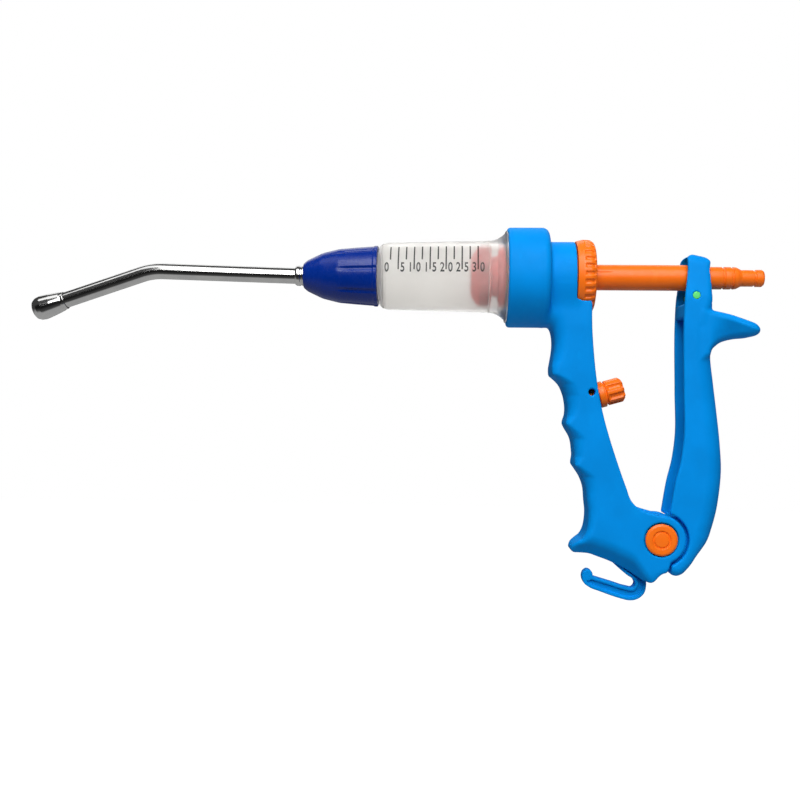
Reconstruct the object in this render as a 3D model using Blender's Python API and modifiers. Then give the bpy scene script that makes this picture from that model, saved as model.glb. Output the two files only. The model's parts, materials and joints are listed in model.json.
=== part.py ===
"""Hand-held drenching gun: a graduated dosing barrel with a bent nozzle, a fixed grip and a squeeze lever.

The frame is the gun as it is held: +X runs along the barrel from the nozzle to the hose tail, +Z is up,
and the origin is the middle of the hand on the fixed grip. Lengths are metres.
"""

import math

import bmesh
import bpy
from mathutils import Matrix, Vector

MM = 0.001

# Driving dimensions
DOSE_VOLUME = 30e-6
BORE_DIA = 29.4 * MM
STROKE = DOSE_VOLUME / (math.pi / 4 * BORE_DIA**2)
AXIS_Z = 73.4 * MM
PIVOT_X = 33.9 * MM
PIVOT_Z = -49.5 * MM
TRUNNION_X = 49.2 * MM
ROD_R = 6.05 * MM
GAP = 0.3 * MM

# Squeezing the lever swings the trunnions by one stroke
TRUNNION_RISE = AXIS_Z - PIVOT_Z
REST_LEAN = math.atan2(TRUNNION_X - PIVOT_X, TRUNNION_RISE)
FULL_LEAN = math.atan2(TRUNNION_X - PIVOT_X - STROKE, TRUNNION_RISE)
LEVER_SWING = REST_LEAN - FULL_LEAN

# Body: collar, neck and grip
COLLAR_FRONT = -38.6 * MM
COLLAR_REAR = -18.9 * MM
COLLAR_R = 24.0 * MM
NECK_REAR = -5.6 * MM
NECK_R = 17.05 * MM
SOCKET_FLOOR = -23.0 * MM
SOCKET_R = 21.6 * MM
BUSH_HOLE_R = 8.7 * MM
GLAND_HOLE_R = 14.0 * MM
GLAND_HOLE_FLOOR = -12.0 * MM
GRIP_WALL = 2.8 * MM

# Barrel and nose
BARREL_REAR = -24.4 * MM
BARREL_FLANGE_R = 21.2 * MM
BARREL_SHOULDER = -99.5 * MM
SPIGOT_R = 11.5 * MM
SPIGOT_FRONT = -113.0 * MM
OUTLET_R = 4.0 * MM
NUT_REAR = BARREL_SHOULDER - 0.4 * MM
NUT_FRONT = -135.7 * MM
NUT_GROOVES = 8
NUT_GROOVE_START = math.radians(32.7)
VALVE_BALL_R = 2.8 * MM
VALVE_HOLE_R = 2.0 * MM
OUTLET_SEAT_FACE = -117.0 * MM
VALVE_WIRE_R = 0.2 * MM

# Nozzle
TUBE_R = 3.8 * MM
TUBE_BORE_R = 2.8 * MM
TUBE_REAR = -133.3 * MM
TUBE_RISE = 2.5 * MM
BEND_X = -208.8 * MM
BEND_ANGLE = math.radians(19.2)
BEND_R = 22.0 * MM
TIP_FROM_BEND = 46.2 * MM
TIP_SOCKET = 6.0 * MM

# Rod, piston and hose tail
ROD_FRONT = -43.0 * MM
ROD_SHOULDER = 46.6 * MM
ROD_REAR = 60.0 * MM
ROD_NECK_R = 4.2 * MM
ROD_BORE_R = 2.5 * MM
PISTON_R = 14.2 * MM
PISTON_FRONT = -55.7 * MM
PISTON_EDGE = -51.8 * MM
TAIL_FRONT = 54.0 * MM
TAIL_REAR = 82.7 * MM
TAIL_R = 5.3 * MM
TAIL_BORE_R = 2.2 * MM

# Gland ring
RING_FRONT = NECK_REAR + GAP
RING_REAR = 2.4 * MM
RING_R = 17.65 * MM
RING_NOTCHES = 30

# Lever, its pivot and its head
CHEEK_HALF = 11.5 * MM
CHEEK_INNER = 6.85 * MM
CHEEK_R = 12.1 * MM
LEVER_HALF = 11.0 * MM
LEVER_WALL = 2.5 * MM
LEVER_WEB = 2.8 * MM
LEVER_CORNER = 5.0 * MM
LUG_R = 11.0 * MM
BOLT_R = 3.5 * MM
BOLT_CAP_R = 7.4 * MM
CAP_SEAT = CHEEK_HALF - 1.6 * MM
TRUNNION_R = 2.5 * MM
TRUNNION_TIP = 9.8 * MM
TRUNNION_PLAY = 0.5 * MM
HEAD_PIN_X = 48.8 * MM
HEAD_PIN_Z = 64.2 * MM
HEAD_PIN_R = 1.8 * MM

# Dose knob, on an axis that leans up from the back of the grip
KNOB_X = 6.3 * MM
KNOB_Z = 17.6 * MM
KNOB_LEAN = math.radians(16.0)
KNOB_R = 5.9 * MM
KNOB_FLUTES = 8
KNOB_TRAVEL = 7.0 * MM
THREAD_PITCH = 1.75 * MM
DOSE_BUSH_R = 6.5 * MM

# Handle spring, a torsion spring round the pivot bolt
COIL_R = 6.0 * MM
COIL_WIRE_R = 0.6 * MM
COIL_PITCH = 2.0 * MM
COIL_START = math.radians(210.0)
COIL_SWEEP = math.radians(838.0)
COIL_GRIP_LEG = 36.0 * MM
COIL_LEVER_LEG = 34.0 * MM

# Side outlines of the hand parts, as (height, front, rear, half-width) in millimetres
GRIP_LEVELS = [
    (66.0, -21.0, 0.6, 13.0),
    (60.0, -21.0, 0.6, 13.6),
    (54.0, -20.4, 0.7, 13.8),
    (50.0, -18.9, 0.8, 13.7),
    (46.5, -17.5, 1.0, 13.5),
    (41.0, -17.0, 1.4, 13.2),
    (36.0, -17.4, 1.8, 12.9),
    (32.0, -18.4, 2.2, 12.7),
    (28.5, -18.3, 2.8, 12.6),
    (24.5, -16.8, 3.3, 12.4),
    (20.5, -13.4, 4.0, 12.3),
    (17.0, -11.6, 4.7, 12.2),
    (12.0, -10.8, 5.6, 12.1),
    (8.5, -10.7, 6.4, 12.0),
    (5.5, -11.5, 7.1, 12.0),
    (2.0, -11.1, 8.1, 11.9),
    (-2.0, -9.0, 9.3, 11.8),
    (-6.0, -7.6, 10.7, 11.8),
    (-10.0, -7.1, 12.0, 11.7),
    (-13.5, -7.5, 13.1, 11.7),
    (-17.5, -6.0, 14.4, 11.6),
    (-22.0, -3.2, 16.1, 11.5),
    (-27.0, -1.9, 18.3, 11.4),
    (-33.0, -1.1, 22.3, 11.2),
    (-40.0, -0.2, 24.0, 11.2),
    (-44.0, -1.6, 24.0, 11.2),
    (-48.0, -3.6, 24.0, 11.2),
    (-51.5, -7.4, 24.0, 11.1),
    (-54.4, -8.6, 24.0, 11.0),
    (-57.4, -6.0, 24.0, 10.4),
]
LEVER_LEVELS = [
    (83.0, 47.6, 51.0),
    (82.3, 46.0, 53.0),
    (80.0, 45.7, 54.9),
    (77.0, 45.5, 55.6),
    (60.0, 43.5, 56.3),
    (52.8, 43.2, 56.6),
    (40.0, 43.3, 57.0),
    (36.0, 43.4, 56.5),
    (25.0, 43.5, 57.7),
    (10.0, 43.6, 59.6),
    (-4.0, 43.7, 61.1),
    (-15.0, 42.0, 61.8),
    (-23.0, 40.0, 61.5),
    (-30.0, 38.9, 60.6),
    (-37.0, 37.7, 59.4),
    (-40.0, 28.5, 58.7),
    (-44.0, 24.4, 57.5),
    (-49.5, 22.9, 55.6),
    (-54.0, 23.9, 53.0),
    (-57.5, 26.4, 50.5),
    (-60.0, 30.8, 48.9),
    (-60.4, 36.0, 48.6),
    (-60.9, 39.0, 48.3),
    (-65.0, 39.2, 45.1),
    (-66.6, 40.8, 42.6),
]
FOOT_BOTTOM = [
    (36.7, -64.6),
    (33.1, -65.6),
    (31.2, -67.0),
    (29.4, -68.5),
    (27.6, -69.0),
    (17.0, -66.3),
    (12.8, -62.7),
    (9.0, -59.9),
    (6.0, -58.7),
    (6.0, -45.0),
    (14.0, -33.0),
    (20.3, -31.0),
    (24.0, -34.7),
    (29.0, -36.4),
]
HOOK_OUTLINE = [
    (17.6, -67.0),
    (22.7, -72.4),
    (22.2, -73.3),
    (19.9, -73.2),
    (12.4, -70.7),
    (4.8, -68.0),
    (3.9, -66.1),
    (2.5, -64.9),
    (0.6, -64.8),
    (-0.9, -65.8),
    (-1.5, -68.6),
    (-0.8, -71.9),
    (1.1, -73.3),
    (6.8, -75.3),
    (18.0, -79.0),
    (20.9, -79.5),
    (24.6, -78.0),
    (26.9, -75.6),
    (27.8, -73.3),
    (27.6, -69.5),
]
HOOK_HALF = 3.2 * MM
WING_OUTLINE = [
    (55.0, 58.0),
    (61.1, 57.6),
    (68.5, 56.0),
    (75.9, 53.2),
    (78.2, 51.9),
    (79.4, 49.6),
    (77.8, 47.2),
    (75.9, 46.2),
    (68.6, 44.8),
    (61.2, 43.3),
    (59.0, 42.0),
    (57.0, 39.5),
    (55.0, 39.0),
]
WING_HALF = 10.6 * MM

# Round pieces: facets of a large, a middling and a small one
FINE = 36
MEDIUM = 24
COARSE = 16

# Finishes: colour, roughness, metallic
FINISHES = {
    "blue": ((0.0, 0.21, 0.70), 0.42, 0.0),
    "dark_blue": ((0.004, 0.018, 0.22), 0.25, 0.0),
    "orange": ((0.94, 0.18, 0.015), 0.40, 0.0),
    "green": ((0.14, 0.71, 0.20), 0.45, 0.0),
    "milky": ((0.72, 0.70, 0.67), 0.35, 0.0),
    "pink": ((0.62, 0.26, 0.20), 0.45, 0.0),
    "rubber": ((0.28, 0.09, 0.10), 0.70, 0.0),
    "black_rubber": ((0.02, 0.02, 0.02), 0.75, 0.0),
    "white": ((0.78, 0.78, 0.76), 0.45, 0.0),
    "chrome": ((0.80, 0.80, 0.80), 0.08, 1.0),
    "steel": ((0.60, 0.60, 0.60), 0.28, 1.0),
}

GUN = None
HELPERS = None


def clear_scene():
    for item in list(bpy.data.objects):
        bpy.data.objects.remove(item, do_unlink=True)


def make_collections():
    global GUN, HELPERS
    GUN = bpy.data.collections.new("drenching_gun")
    HELPERS = bpy.data.collections.new("cutters")
    for collection in (GUN, HELPERS):
        bpy.context.scene.collection.children.link(collection)


def make_finishes():
    for name, (colour, roughness, metallic) in FINISHES.items():
        finish = bpy.data.materials.new(name)
        finish.use_nodes = True
        shader = finish.node_tree.nodes["Principled BSDF"]
        shader.inputs["Base Color"].default_value = (*colour, 1.0)
        shader.inputs["Roughness"].default_value = roughness
        shader.inputs["Metallic"].default_value = metallic


def add(name, data, finish=None):
    """A named part with its finish, or a helper that only cuts or joins."""
    item = bpy.data.objects.new(name, data)
    if finish is None:
        HELPERS.objects.link(item)
        item.hide_render = True
        item.display_type = "WIRE"
    else:
        GUN.objects.link(item)
        data.materials.append(bpy.data.materials[finish])
    return item


def boolean(target, tool, operation):
    modifier = target.modifiers.new(tool.name, "BOOLEAN")
    modifier.operation = operation
    modifier.solver = "EXACT"
    modifier.object = tool


def cut(target, *tools):
    for tool in tools:
        boolean(target, tool, "DIFFERENCE")


def join(target, *tools):
    for tool in tools:
        boolean(target, tool, "UNION")


def turned(name, profile, finish=None, steps=MEDIUM, start=(0.0, 0.0, AXIS_Z), along=(1.0, 0.0, 0.0)):
    """A turned piece: (station, radius) pairs that run down the outside, and back up any bore."""
    mesh = bpy.data.meshes.new(name)
    points = [(radius, 0.0, station) for station, radius in profile]
    edges = [(i, i + 1) for i in range(len(points) - 1)]
    if profile[0][1] > 0.0:
        edges.append((len(points) - 1, 0))
    mesh.from_pydata(points, edges, [])
    item = add(name, mesh, finish)
    item.location = start
    item.rotation_euler = Vector(along).to_track_quat("Z", "Y").to_euler()
    screw = item.modifiers.new("turn", "SCREW")
    screw.axis = "Z"
    screw.angle = 2 * math.pi
    screw.steps = steps
    screw.render_steps = steps
    screw.use_merge_vertices = True
    screw.merge_threshold = 0.00001
    screw.use_smooth_shade = True
    return item


def pin(name, radius, y_from, y_to, x, z, finish=None, steps=MEDIUM):
    """A plain round pin or hole across the gun, along Y."""
    profile = [(y_to, 0.0), (y_to, radius), (y_from, radius), (y_from, 0.0)]
    return turned(name, profile, finish, steps, start=(x, 0.0, z), along=(0.0, 1.0, 0.0))


def block(name, low, high, finish=None, turn=None):
    """A box between two corners, moved by a matrix where it doesn't lie along the frame."""
    mesh = bpy.data.meshes.new(name)
    shape = bmesh.new()
    bmesh.ops.create_cube(shape, size=1.0)
    size = [b - a for a, b in zip(low, high)]
    middle = [(a + b) / 2 for a, b in zip(low, high)]
    bmesh.ops.scale(shape, vec=size, verts=shape.verts)
    bmesh.ops.translate(shape, vec=middle, verts=shape.verts)
    if turn is not None:
        bmesh.ops.transform(shape, matrix=turn, verts=shape.verts)
    shape.to_mesh(mesh)
    shape.free()
    return add(name, mesh, finish)


def as_mesh(curve_object, finish):
    """The curve's solid as a mesh object with its caps welded; the curve is removed."""
    bpy.context.view_layer.update()
    graph = bpy.context.evaluated_depsgraph_get()
    mesh = bpy.data.meshes.new_from_object(curve_object.evaluated_get(graph))
    shape = bmesh.new()
    shape.from_mesh(mesh)
    bmesh.ops.remove_doubles(shape, verts=shape.verts, dist=0.000001)
    bmesh.ops.recalc_face_normals(shape, faces=shape.faces)
    shape.to_mesh(mesh)
    shape.free()
    mesh.materials.clear()
    name = curve_object.name
    matrix = curve_object.matrix_world.copy()
    bpy.data.objects.remove(curve_object, do_unlink=True)
    item = add(name, mesh, finish)
    item.name = name
    item.matrix_world = matrix
    return item


def slab(name, outline, half_width, finish=None, offset_y=0.0):
    """A flat outline in the XZ plane, thickened by half_width to each side of offset_y."""
    curve = bpy.data.curves.new(name, "CURVE")
    curve.dimensions = "2D"
    curve.fill_mode = "BOTH"
    curve.extrude = half_width
    spline = curve.splines.new("POLY")
    spline.points.add(len(outline) - 1)
    for point, (x, z) in zip(spline.points, outline):
        point.co = (x, z, 0.0, 1.0)
    spline.use_cyclic_u = True
    item = bpy.data.objects.new(name, curve)
    HELPERS.objects.link(item)
    item.matrix_world = Matrix.Translation((0.0, offset_y, 0.0)) @ Matrix.Rotation(math.pi / 2, 4, "X")
    return as_mesh(item, finish)


def wire(name, path, radius, finish=None, sides=1):
    """A round wire or tube along a path, with filled ends."""
    curve = bpy.data.curves.new(name, "CURVE")
    curve.dimensions = "3D"
    curve.bevel_depth = radius
    curve.bevel_resolution = sides
    curve.use_fill_caps = True
    spline = curve.splines.new("POLY")
    spline.points.add(len(path) - 1)
    for point, place in zip(spline.points, path):
        point.co = (*place, 1.0)
    item = bpy.data.objects.new(name, curve)
    HELPERS.objects.link(item)
    return as_mesh(item, finish)


def loft(name, rings, finish=None):
    """A solid skinned over rings of equal point counts, listed from the top down."""
    mesh = bpy.data.meshes.new(name)
    shape = bmesh.new()
    rows = [[shape.verts.new(point) for point in ring] for ring in rings]
    count = len(rows[0])
    for upper, lower in zip(rows, rows[1:]):
        for i in range(count):
            j = (i + 1) % count
            shape.faces.new((upper[i], upper[j], lower[j], lower[i]))
    shape.faces.new(rows[0])
    shape.faces.new(rows[-1])
    bmesh.ops.recalc_face_normals(shape, faces=shape.faces)
    shape.to_mesh(mesh)
    shape.free()
    return add(name, mesh, finish)


def ball(name, centre, radius, finish):
    mesh = bpy.data.meshes.new(name)
    shape = bmesh.new()
    bmesh.ops.create_uvsphere(shape, u_segments=COARSE, v_segments=10, radius=radius)
    shape.to_mesh(mesh)
    shape.free()
    item = add(name, mesh, finish)
    item.location = centre
    return item


def scaled(points):
    return [(x * MM, z * MM) for x, z in points]


def arc(centre, radius, start, end, count):
    """Points along an arc in the XZ plane, with angles from +X towards +Z."""
    angles = [start + (end - start) * i / (count - 1) for i in range(count)]
    return [(centre[0] + radius * math.cos(a), centre[1] + radius * math.sin(a)) for a in angles]


def least_gap(path, wire_r, skip):
    """The least clear gap of a coiled wire to itself, measured on its points."""
    points = [Vector(p) for p in path]
    pairs = ((a, b) for i, a in enumerate(points) for b in points[i + skip :])
    return min((a - b).length for a, b in pairs) - 2 * wire_r


def compression_spring(name, front, rear, mean_r, turns, finish):
    """A helix along the barrel axis with its ends on the wire's centre line."""
    per_turn = 9
    count = turns * per_turn
    path = []
    for i in range(count + 1):
        angle = 2 * math.pi * i / per_turn
        x = front + (rear - front) * i / count
        path.append((x, mean_r * math.cos(angle), AXIS_Z + mean_r * math.sin(angle)))
    print(name, "least gap to itself, mm:", round(least_gap(path, VALVE_WIRE_R, per_turn) / MM, 2))
    return wire(name, path, VALVE_WIRE_R, finish)


# Body


def grip_ring(level, front, rear, half, wall=0.0, open_rear=0.0):
    """One D-shaped section of the grip: a rounded front, straight sides and a flat rear."""
    nose = min(1.05 * half, 0.75 * (rear - front))
    points = []
    for i in range(11):
        angle = math.pi / 2 + math.pi * i / 10
        x = front + nose + (nose - wall) * math.cos(angle)
        points.append((x, (half - wall) * math.sin(angle), level))
    points.append((rear + open_rear, -(half - wall), level))
    points.append((rear + open_rear, half - wall, level))
    return points


def grip_sections(top, bottom, wall=0.0, open_rear=0.0):
    levels = [row for row in GRIP_LEVELS if bottom <= row[0] <= top]
    return [grip_ring(*(value * MM for value in row), wall, open_rear) for row in levels]


def make_body():
    uncut_rear = NECK_REAR + 0.6 * MM
    collar = [
        (uncut_rear, 0.0),
        (uncut_rear, NECK_R),
        (COLLAR_REAR + 1.2 * MM, NECK_R),
        (COLLAR_REAR, NECK_R + 1.2 * MM),
        (COLLAR_REAR, COLLAR_R - 2.6 * MM),
        (COLLAR_REAR - 0.8 * MM, COLLAR_R - 0.8 * MM),
        (COLLAR_REAR - 2.6 * MM, COLLAR_R),
        (COLLAR_FRONT + 0.8 * MM, COLLAR_R),
        (COLLAR_FRONT, COLLAR_R - 0.8 * MM),
        (COLLAR_FRONT, 0.0),
    ]
    body = turned("body_grip", collar, "blue", FINE)
    pivot = (PIVOT_X, PIVOT_Z)
    cheek = arc(pivot, CHEEK_R, math.radians(95.0), math.radians(-66.0), 15) + scaled(FOOT_BOTTOM)
    join(body, loft("grip_skin", grip_sections(66.0, -57.4)), slab("cheek_plate", cheek, CHEEK_HALF))

    bores = [
        (NECK_REAR + 1.0 * MM, 0.0),
        (NECK_REAR + 1.0 * MM, GLAND_HOLE_R),
        (GLAND_HOLE_FLOOR, GLAND_HOLE_R),
        (GLAND_HOLE_FLOOR, BUSH_HOLE_R),
        (SOCKET_FLOOR, BUSH_HOLE_R),
        (SOCKET_FLOOR, SOCKET_R),
        (COLLAR_FRONT - 1.0 * MM, SOCKET_R),
        (COLLAR_FRONT - 1.0 * MM, 0.0),
    ]
    notch_r = RING_R + 0.4 * MM
    notch = [(8.0 * MM, 0.0), (8.0 * MM, notch_r), (NECK_REAR, notch_r), (NECK_REAR, 0.0)]
    cavity = loft("grip_hollow", grip_sections(46.5, -33.0, GRIP_WALL, 12.0 * MM))
    cut(body, turned("body_bores", bores, None, FINE), turned("ring_notch", notch, None, FINE), cavity)
    cut(body, slab("lug_slot", lug_slot_outline(), CHEEK_INNER))
    cut_pivot_holes(body)
    half = 3.4 * MM
    join(body, block("spring_rest", (-1.5 * MM, -half, -25.0 * MM), (9.5 * MM, half, -18.0 * MM)))
    add_dose_boss(body)
    return body


def lug_slot_outline():
    """The slot between the cheeks, which takes the lever's lugs and the handle spring's fixed leg."""
    clear = LUG_R + 0.9 * MM
    floor = arc((PIVOT_X, PIVOT_Z), clear, math.radians(270.0), math.radians(180.0), 9)
    top = -30.0 * MM
    spring_side = scaled([(22.0, -44.0), (15.5, -37.0)]) + [(15.5 * MM, top)]
    return [(60.0 * MM, top), (60.0 * MM, PIVOT_Z - clear)] + floor + spring_side


def cut_pivot_holes(body):
    outside = 13.0 * MM
    sink_r = BOLT_CAP_R + 0.5 * MM
    cut(body, pin("bolt_hole", BOLT_R + GAP, -outside, outside, PIVOT_X, PIVOT_Z))
    cut(body, pin("cap_sink_near", sink_r, -outside, -CAP_SEAT, PIVOT_X, PIVOT_Z))
    cut(body, pin("cap_sink_far", sink_r, CAP_SEAT, outside, PIVOT_X, PIVOT_Z))


def on_knob_axis(name, profile, finish=None, steps=MEDIUM):
    along = (math.cos(KNOB_LEAN), 0.0, math.sin(KNOB_LEAN))
    return turned(name, profile, finish, steps, start=(KNOB_X, 0.0, KNOB_Z), along=along)


def add_dose_boss(body):
    """A bridge across the grip's hollow that holds the dose screw's bush, and the small hole beside it."""
    front = -10.0 * MM
    rear = -1.5 * MM
    half_height = 9.0 * MM
    half_width = 10.2 * MM
    hole_r = DOSE_BUSH_R + GAP
    knob_frame = Matrix.Translation((KNOB_X, 0.0, KNOB_Z)) @ Matrix.Rotation(-KNOB_LEAN, 4, "Y")
    low = (front, -half_width, -half_height)
    high = (rear, half_width, half_height)
    join(body, block("dose_boss", low, high, None, knob_frame))
    floor = front - 0.5 * MM
    mouth = 3.0 * MM
    cut(body, on_knob_axis("dose_hole", [(mouth, 0.0), (mouth, hole_r), (floor, hole_r), (floor, 0.0)]))
    cut(body, pin("side_hole", 1.65 * MM, -16.0 * MM, -4.0 * MM, 1.0 * MM, 18.7 * MM, None, COARSE))


def make_hook():
    return slab("belt_hook", scaled(HOOK_OUTLINE), HOOK_HALF, "blue")


# Barrel, nose and nozzle


def make_barrel():
    bore_r = BORE_DIA / 2
    profile = [
        (BARREL_REAR, BARREL_FLANGE_R),
        (COLLAR_FRONT - 0.3 * MM, BARREL_FLANGE_R),
        (-41.5 * MM, 19.6 * MM),
        (-44.0 * MM, 17.9 * MM),
        (-46.2 * MM, 17.0 * MM),
        (-95.1 * MM, 15.95 * MM),
        (-97.4 * MM, 15.3 * MM),
        (-98.9 * MM, 13.9 * MM),
        (BARREL_SHOULDER, 12.6 * MM),
        (BARREL_SHOULDER, SPIGOT_R),
        (SPIGOT_FRONT, SPIGOT_R),
        (SPIGOT_FRONT, OUTLET_R),
        (-101.2 * MM, OUTLET_R),
        (-101.2 * MM, 9.0 * MM),
        (-96.4 * MM, bore_r),
        (BARREL_REAR, bore_r),
    ]
    turned("barrel", profile, "milky", FINE)
    rear = SOCKET_FLOOR - GAP
    front = BARREL_REAR + GAP
    ring = [(rear, 21.0 * MM), (front, 21.0 * MM), (front, 15.2 * MM), (rear, 15.2 * MM)]
    turned("barrel_gasket", ring, "black_rubber", FINE)


def radial_cutters(name, count, low, high, start_angle=0.0):
    """Equal boxes round the barrel axis, given as the one that lies above it."""
    mesh = bpy.data.meshes.new(name)
    shape = bmesh.new()
    for i in range(count):
        made = bmesh.ops.create_cube(shape, size=1.0)["verts"]
        size = [b - a for a, b in zip(low, high)]
        middle = [(a + b) / 2 for a, b in zip(low, high)]
        bmesh.ops.scale(shape, vec=size, verts=made)
        bmesh.ops.translate(shape, vec=middle, verts=made)
        turn = Matrix.Rotation(start_angle + 2 * math.pi * i / count, 4, "X")
        bmesh.ops.transform(shape, matrix=Matrix.Translation((0.0, 0.0, AXIS_Z)) @ turn, verts=made)
    shape.to_mesh(mesh)
    shape.free()
    return add(name, mesh)


def make_front_nut():
    chamber_r = 8.0 * MM
    chamber_front = -127.8 * MM
    flange_r = 7.3 * MM
    flange_front = -130.4 * MM
    nose_hole_r = 5.2 * MM
    profile = [
        (NUT_REAR, 14.7 * MM),
        (NUT_REAR - 1.4 * MM, 14.7 * MM),
        (NUT_REAR - 1.9 * MM, 14.3 * MM),
        (-110.6 * MM, 13.6 * MM),
        (-118.6 * MM, 12.8 * MM),
        (-122.8 * MM, 12.0 * MM),
        (-126.6 * MM, 10.9 * MM),
        (-130.6 * MM, 9.2 * MM),
        (-133.8 * MM, 7.5 * MM),
        (-135.2 * MM, 6.4 * MM),
        (NUT_FRONT, 5.8 * MM),
        (NUT_FRONT, nose_hole_r),
        (flange_front, nose_hole_r),
        (flange_front, flange_r),
        (chamber_front, flange_r),
        (chamber_front, chamber_r),
        (SPIGOT_FRONT - GAP, chamber_r),
        (SPIGOT_FRONT - GAP, SPIGOT_R + GAP),
        (NUT_REAR, SPIGOT_R + GAP),
    ]
    nut = turned("front_nut", profile, "dark_blue", FINE)
    half_groove = 0.9 * MM
    low = (-118.6 * MM, -half_groove, 12.7 * MM)
    high = (NUT_REAR + 1.0 * MM, half_groove, 16.0 * MM)
    cut(nut, radial_cutters("nut_grooves", NUT_GROOVES, low, high, NUT_GROOVE_START))


def make_outlet_valve():
    seal_rear = SPIGOT_FRONT - GAP
    seal_front = -114.0 * MM
    seat_rear = seal_front - GAP
    land_r = 7.7 * MM
    hole_r = 4.6 * MM
    seal = [(seal_rear, land_r), (seal_front, land_r), (seal_front, hole_r), (seal_rear, hole_r)]
    turned("spigot_seal", seal, "black_rubber")
    seat = [
        (seat_rear, land_r),
        (OUTLET_SEAT_FACE, land_r),
        (OUTLET_SEAT_FACE, VALVE_HOLE_R),
        (seat_rear, VALVE_HOLE_R),
    ]
    turned("outlet_seat", seat, "white")
    cage_rear = OUTLET_SEAT_FACE - GAP
    cage_floor = -126.0 * MM
    cage_front = -127.5 * MM
    chamber_r = 4.4 * MM
    cage = [
        (cage_rear, land_r),
        (cage_front, land_r),
        (cage_front, VALVE_HOLE_R),
        (cage_floor, VALVE_HOLE_R),
        (cage_floor, chamber_r),
        (cage_rear, chamber_r),
    ]
    turned("outlet_cage", cage, "white")
    centre = OUTLET_SEAT_FACE - ball_seating() - GAP
    ball("outlet_ball", (centre, 0.0, AXIS_Z), VALVE_BALL_R, "steel")
    spring_rear = centre - VALVE_BALL_R + 0.4 * MM
    compression_spring("outlet_spring", cage_floor + 0.5 * MM, spring_rear, 2.2 * MM, 3, "steel")


def ball_seating():
    """How far a valve ball's centre stands off the face of the hole that it closes."""
    return math.sqrt(VALVE_BALL_R**2 - VALVE_HOLE_R**2)


def make_ferrule():
    flange_rear = -128.1 * MM
    flange_front = -130.1 * MM
    stem_r = 4.9 * MM
    socket_r = TUBE_R + GAP
    front = -139.8 * MM
    profile = [
        (flange_rear, 7.0 * MM),
        (flange_front, 7.0 * MM),
        (flange_front, stem_r),
        (-136.4 * MM, stem_r),
        (-138.8 * MM, 4.75 * MM),
        (front, 4.4 * MM),
        (front, socket_r),
        (TUBE_REAR + GAP, socket_r),
        (TUBE_REAR + GAP, 2.6 * MM),
        (flange_rear, 2.6 * MM),
    ]
    turned("nozzle_ferrule", profile, "chrome")


def heading(angle):
    """A direction towards the nozzle, raised by an angle."""
    return Vector((-math.cos(angle), 0.0, math.sin(angle)))


def tube_path(end_run):
    """The tube's centre line, with the bend's corner: coaxial, a slight rise, then the bend down."""
    rise_start = Vector((-141.0 * MM, 0.0, AXIS_Z))
    corner = Vector((BEND_X, 0.0, AXIS_Z + TUBE_RISE))
    rise = math.atan2(TUBE_RISE, rise_start.x - corner.x)
    turn = rise + BEND_ANGLE
    first = corner - heading(rise) * BEND_R * math.tan(turn / 2)
    centre = first - BEND_R * Vector((math.sin(rise), 0.0, math.cos(rise)))
    path = [Vector((TUBE_REAR, 0.0, AXIS_Z)), rise_start]
    bend_steps = 6
    for i in range(bend_steps + 1):
        angle = rise - turn * i / bend_steps
        path.append(centre + BEND_R * Vector((math.sin(angle), 0.0, math.cos(angle))))
    path.append(corner + heading(-BEND_ANGLE) * end_run)
    return path, corner


def make_nozzle():
    path, corner = tube_path(TIP_FROM_BEND + TIP_SOCKET - GAP)
    down = heading(-BEND_ANGLE)
    tube = wire("nozzle_tube", path, TUBE_R, "chrome", 4)
    longer = [path[0] - heading(0.0) * MM] + path[1:-1] + [path[-1] + down * MM]
    cut(tube, wire("tube_bore", longer, TUBE_BORE_R, None, 2))
    tip = [
        (16.2 * MM, 2.9 * MM),
        (15.7 * MM, 4.2 * MM),
        (14.3 * MM, 5.35 * MM),
        (12.0 * MM, 5.85 * MM),
        (9.5 * MM, 5.75 * MM),
        (6.8 * MM, 5.35 * MM),
        (1.6 * MM, 4.55 * MM),
        (0.0, 4.45 * MM),
        (0.0, TUBE_R + GAP),
        (TIP_SOCKET, TUBE_R + GAP),
        (TIP_SOCKET, 2.0 * MM),
        (16.2 * MM, 2.0 * MM),
    ]
    start = corner + down * TIP_FROM_BEND
    turned("nozzle_tip", tip, "chrome", MEDIUM, start=start, along=down)
    print("nozzle tip face, mm:", [round(v / MM, 2) for v in start + down * tip[0][0]])


# Rod, gland, piston and hose tail


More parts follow.
